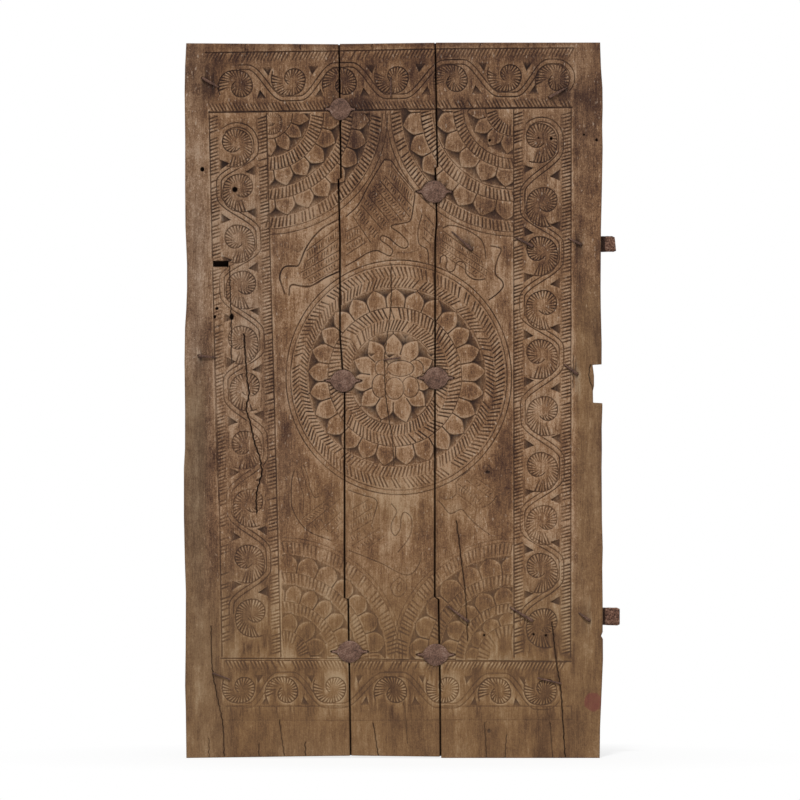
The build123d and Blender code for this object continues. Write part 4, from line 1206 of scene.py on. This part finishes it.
def clamp_bars(u, v, length):
    """A clamp: a plate whose half height is a rounded body blended into two narrow tips, and a prong at each tip."""
    share = np.linspace(-1, 1, 61)
    body = np.clip(1 - (share / 0.72) ** 2, 0, 1) ** 0.62
    tail = 0.36 * np.clip(1.02 - np.abs(share), 0, 1) ** 0.75
    half_height = CLAMP_HALF_HEIGHT * (body**3 + tail**3) ** (1 / 3)
    path = on_face((u, v), 0.0008) + ACROSS_X * (share * length * UNIT / 2)[:, None]
    path[:, 1] += 0.0016 * ease((np.abs(share) - 0.7) / 0.3)
    thick = CLAMP_HALF_THICKNESS * (0.55 + 0.45 * body)
    plate = bar(path, ACROSS_Z, half_height, thick, 2.3)
    prongs = []
    for hand in (-1, 1):
        tip = on_face((u + hand * (length / 2 - 0.9), v), 0)
        down = np.linspace(0, PRONG_DEPTH, 8)
        line = tip + np.array([0, 1.0, 0]) * down[:, None]
        prongs.append(bar(line, ACROSS_Z, 0.0032, 0.0019 * (1 - 0.85 * down / PRONG_DEPTH)))
    return [plate, *prongs]


def nail_bars(start, end, back):
    """A clinched nail: a shank from behind, a tight bend where it comes out, a tapering tail and a square head."""
    out, tip = on_face(start, 0), on_face(end, 0.0006)
    run = tip - on_face(start, 0.0006)
    length = np.linalg.norm(run)
    run /= length
    lift = np.array([0, -NAIL_LIFT, 0])
    bend = np.array([
        [out[0], back, out[2]],
        [out[0], (back + out[1]) / 2, out[2]],
        out + [0, 0.002, 0],
        out + lift * 0.7 + run * 0.0016,
        out + lift + run * 0.006,
        out + lift * 0.95 + run * length * 0.5,
        tip,
    ])
    path = curve_points(bend, 7)
    far = np.clip((path - out) @ run / length, 0, 1)
    half = NAIL_HALF + (NAIL_TIP_HALF - NAIL_HALF) * far**1.4
    across = np.cross(run, [0, 1.0, 0])
    head = np.array([[out[0], y, out[2]] for y in np.linspace(back - 0.001, back + NAIL_HEAD_HEIGHT, 4)])
    return [bar(path, across, half, half, 3.0), bar(head, run, NAIL_HEAD_HALF, NAIL_HEAD_HALF, 6.0)]


def staple_bars(start, end):
    """A staple: two legs into the wood and a flat bridge between them."""
    first, last = on_face(start, 0), on_face(end, 0)
    run = (last - first) / np.linalg.norm(last - first)
    inward, lift = np.array([0, STAPLE_LEG, 0]), np.array([0, -STAPLE_HALF, 0])
    bend = np.array([
        first + inward, first + inward * 0.4, first, first + lift + run * 0.0018, (first + last) / 2 + lift,
        last + lift - run * 0.0018, last, last + inward * 0.4, last + inward,
    ])
    return [bar(curve_points(bend, 6), np.cross(run, [0, 1.0, 0]), STAPLE_HALF, STAPLE_HALF, 3.0)]


def batten_bar(left, right, low, high, slant, seed):
    """A rough batten: a square section with soft corners, hewn unevenly and sheared at its right end."""
    count = 160
    path = np.zeros((count, 3))
    path[:, 0] = np.linspace(left, right, count)
    path[:, 1] = (PLANK_BACK_Y + BATTEN_BACK_Y) / 2
    path[:, 2] = (low + high) / 2
    near_end = np.minimum(path[:, 0] - left, right - path[:, 0])
    soft = 1 - 0.14 * (1 - np.clip(near_end / 0.007, 0, 1)) ** 2
    rows = bar(path, ACROSS_Z, (high - low) / 2 * soft, (BATTEN_BACK_Y - PLANK_BACK_Y) / 2 * soft, 7.0)
    hew = np.random.default_rng(seed).normal(0, 1, rows.shape[:2])
    for _ in range(3):
        hew = (hew + np.roll(hew, 1, 0) + np.roll(hew, -1, 0) + np.roll(hew, 1, 1) + np.roll(hew, -1, 1)) / 5
    rows = rows - (rows - path[:, None, :]) * (0.03 + 0.09 * np.clip(hew, -0.33, 1))[:, :, None]
    rows[:, :, 0] -= slant * (rows[:, :, 2] - low) / (high - low) * ease(1 - (right - path[:, 0]) / 0.05)[:, None]
    return [rows]


clamp_iron = iron_finish("clamp_iron", -0.03)
nail_iron = iron_finish("nail_iron", 0.12)
for node, places in CLAMPS.items():
    bars = [row for place in places for row in clamp_bars(*place)]
    new_piece(f"hammered_{node}", bars_mesh(node, bars), clamp_iron, node)
for node, places in NAILS.items():
    back = PLANK_BACK_Y if node == "nails_plank" else BATTEN_BACK_Y
    bars = [row for start, end in places for row in nail_bars(start, end, back)]
    new_piece(f"forged_{node}", bars_mesh(node, bars), nail_iron, node)
bars = [row for start, end in STAPLES for row in staple_bars(start, end)]
new_piece("forged_crack_staples", bars_mesh("crack_staples", bars), nail_iron, "crack_staples")
# Battens: left end, right end, foot, top, slant of the right end
BATTENS = {
    "batten_upper": (-0.482, 0.5135, 1.2150, 1.2545, 0.004),
    "batten_lower": (-0.482, 0.522, 0.3151, 0.3591, 0.0),
}
for seed, (node, sizes) in enumerate(BATTENS.items()):
    wood = batten_finish(f"{node}_wood", 0.09 * (1 - seed))
    new_piece(f"hewn_{node}", bars_mesh(node, batten_bar(*sizes, 41 + seed)), wood, node)

# Studio: a white floor under the leaf and a white world behind it, soft key from the upper left, weak fill from the
# right
CAMERA_DISTANCE = 12.0
IMAGE_SIDE = 800


def studio_sheet(name, points):
    """A flat white sheet that shows as white and still takes the leaf's shadow."""
    mesh = new_mesh(name, np.array(points, float), [np.array([[0, 1, 2, 3]])])
    sheet = bpy.data.objects.new(name, mesh)
    bpy.context.collection.objects.link(sheet)
    finish = Finish(name)
    finish.use(Base_Color=(0.9, 0.9, 0.9, 1), Roughness=0.9, Specular_IOR_Level=0.0)
    seen = (finish.node("ShaderNodeLightPath", {}, {}) + finish.node("ShaderNodeLightPath", {}, {}, "Is Glossy Ray")
            + finish.node("ShaderNodeLightPath", {}, {}, "Is Transmission Ray")).clamp()
    white = finish.node("ShaderNodeEmission", {}, {"Color": (1, 1, 1, 1), "Strength": 1.0})
    lit = Value(finish, finish.shader.outputs[0])
    away = finish.node("ShaderNodeVectorMath", {"operation": "LENGTH"}, {0: finish.place((1, 2, 1))}, "Value")
    fade = finish.node("ShaderNodeMapRange", {}, {"Value": away, "From Min": 0.5, "From Max": 1.1, "To Min": 0.8})
    both = finish.node("ShaderNodeMixShader", {}, {0: seen * fade, 1: lit, 2: white})
    finish.feed(finish.tree.nodes["Material Output"].inputs["Surface"], both)
    mesh.materials.append(finish.material)
    return sheet


studio_sheet("floor", ((-6, -7, 0), (6, -7, 0), (6, 6, 0), (-6, 6, 0)))

world = bpy.data.worlds.new("studio")
bpy.context.scene.world = world
world.use_nodes = True
sky = world.node_tree.nodes["Background"]
ray = world.node_tree.nodes.new("ShaderNodeLightPath")
level = world.node_tree.nodes.new("ShaderNodeMapRange")
level.inputs["To Min"].default_value = 0.27
level.inputs["To Max"].default_value = 1.0
seen = ray.outputs["Is Camera Ray"]
for kind in ("Is Glossy Ray", "Is Transmission Ray"):
    either = world.node_tree.nodes.new("ShaderNodeMath")
    either.operation = "MAXIMUM"
    world.node_tree.links.new(seen, either.inputs[0])
    world.node_tree.links.new(ray.outputs[kind], either.inputs[1])
    seen = either.outputs["Value"]
world.node_tree.links.new(seen, level.inputs["Value"])
world.node_tree.links.new(level.outputs["Result"], sky.inputs["Strength"])
sky.inputs["Color"].default_value = (1, 1, 1, 1)


def lamp(name, kind, place, target, size, power):
    """A soft lamp that faces a target: a square panel of a size, or a far one as wide as an angle."""
    data = bpy.data.lights.new(name, kind)
    data.energy = power
    if kind == "AREA":
        data.shape, data.size = "SQUARE", size
    else:
        data.angle = size
    light = bpy.data.objects.new(name, data)
    bpy.context.collection.objects.link(light)
    light.location = place
    aim = Vector(target) - Vector(place)
    light.rotation_euler = aim.to_track_quat("-Z", "Y").to_euler()


lamp("key", "SUN", (-0.5, -2.2, 4.4), (0, 0, 0.8), np.radians(7), 2.42)
lamp("fill", "AREA", (2.6, -3.4, 1.6), (0, 0, 0.8), 2.5, 17)

camera_data = bpy.data.cameras.new("camera")
camera = bpy.data.objects.new("camera", camera_data)
bpy.context.collection.objects.link(camera)
camera.location = (float(x_of(400)), -CAMERA_DISTANCE, float(z_of(400)))
camera.rotation_euler = (np.pi / 2, 0, 0)
camera_data.sensor_width = 36
camera_data.lens = 36 * (CAMERA_DISTANCE + FACE_Y) / (IMAGE_SIDE * UNIT)
bpy.context.scene.camera = camera
bpy.context.scene.view_settings.view_transform = "Standard"
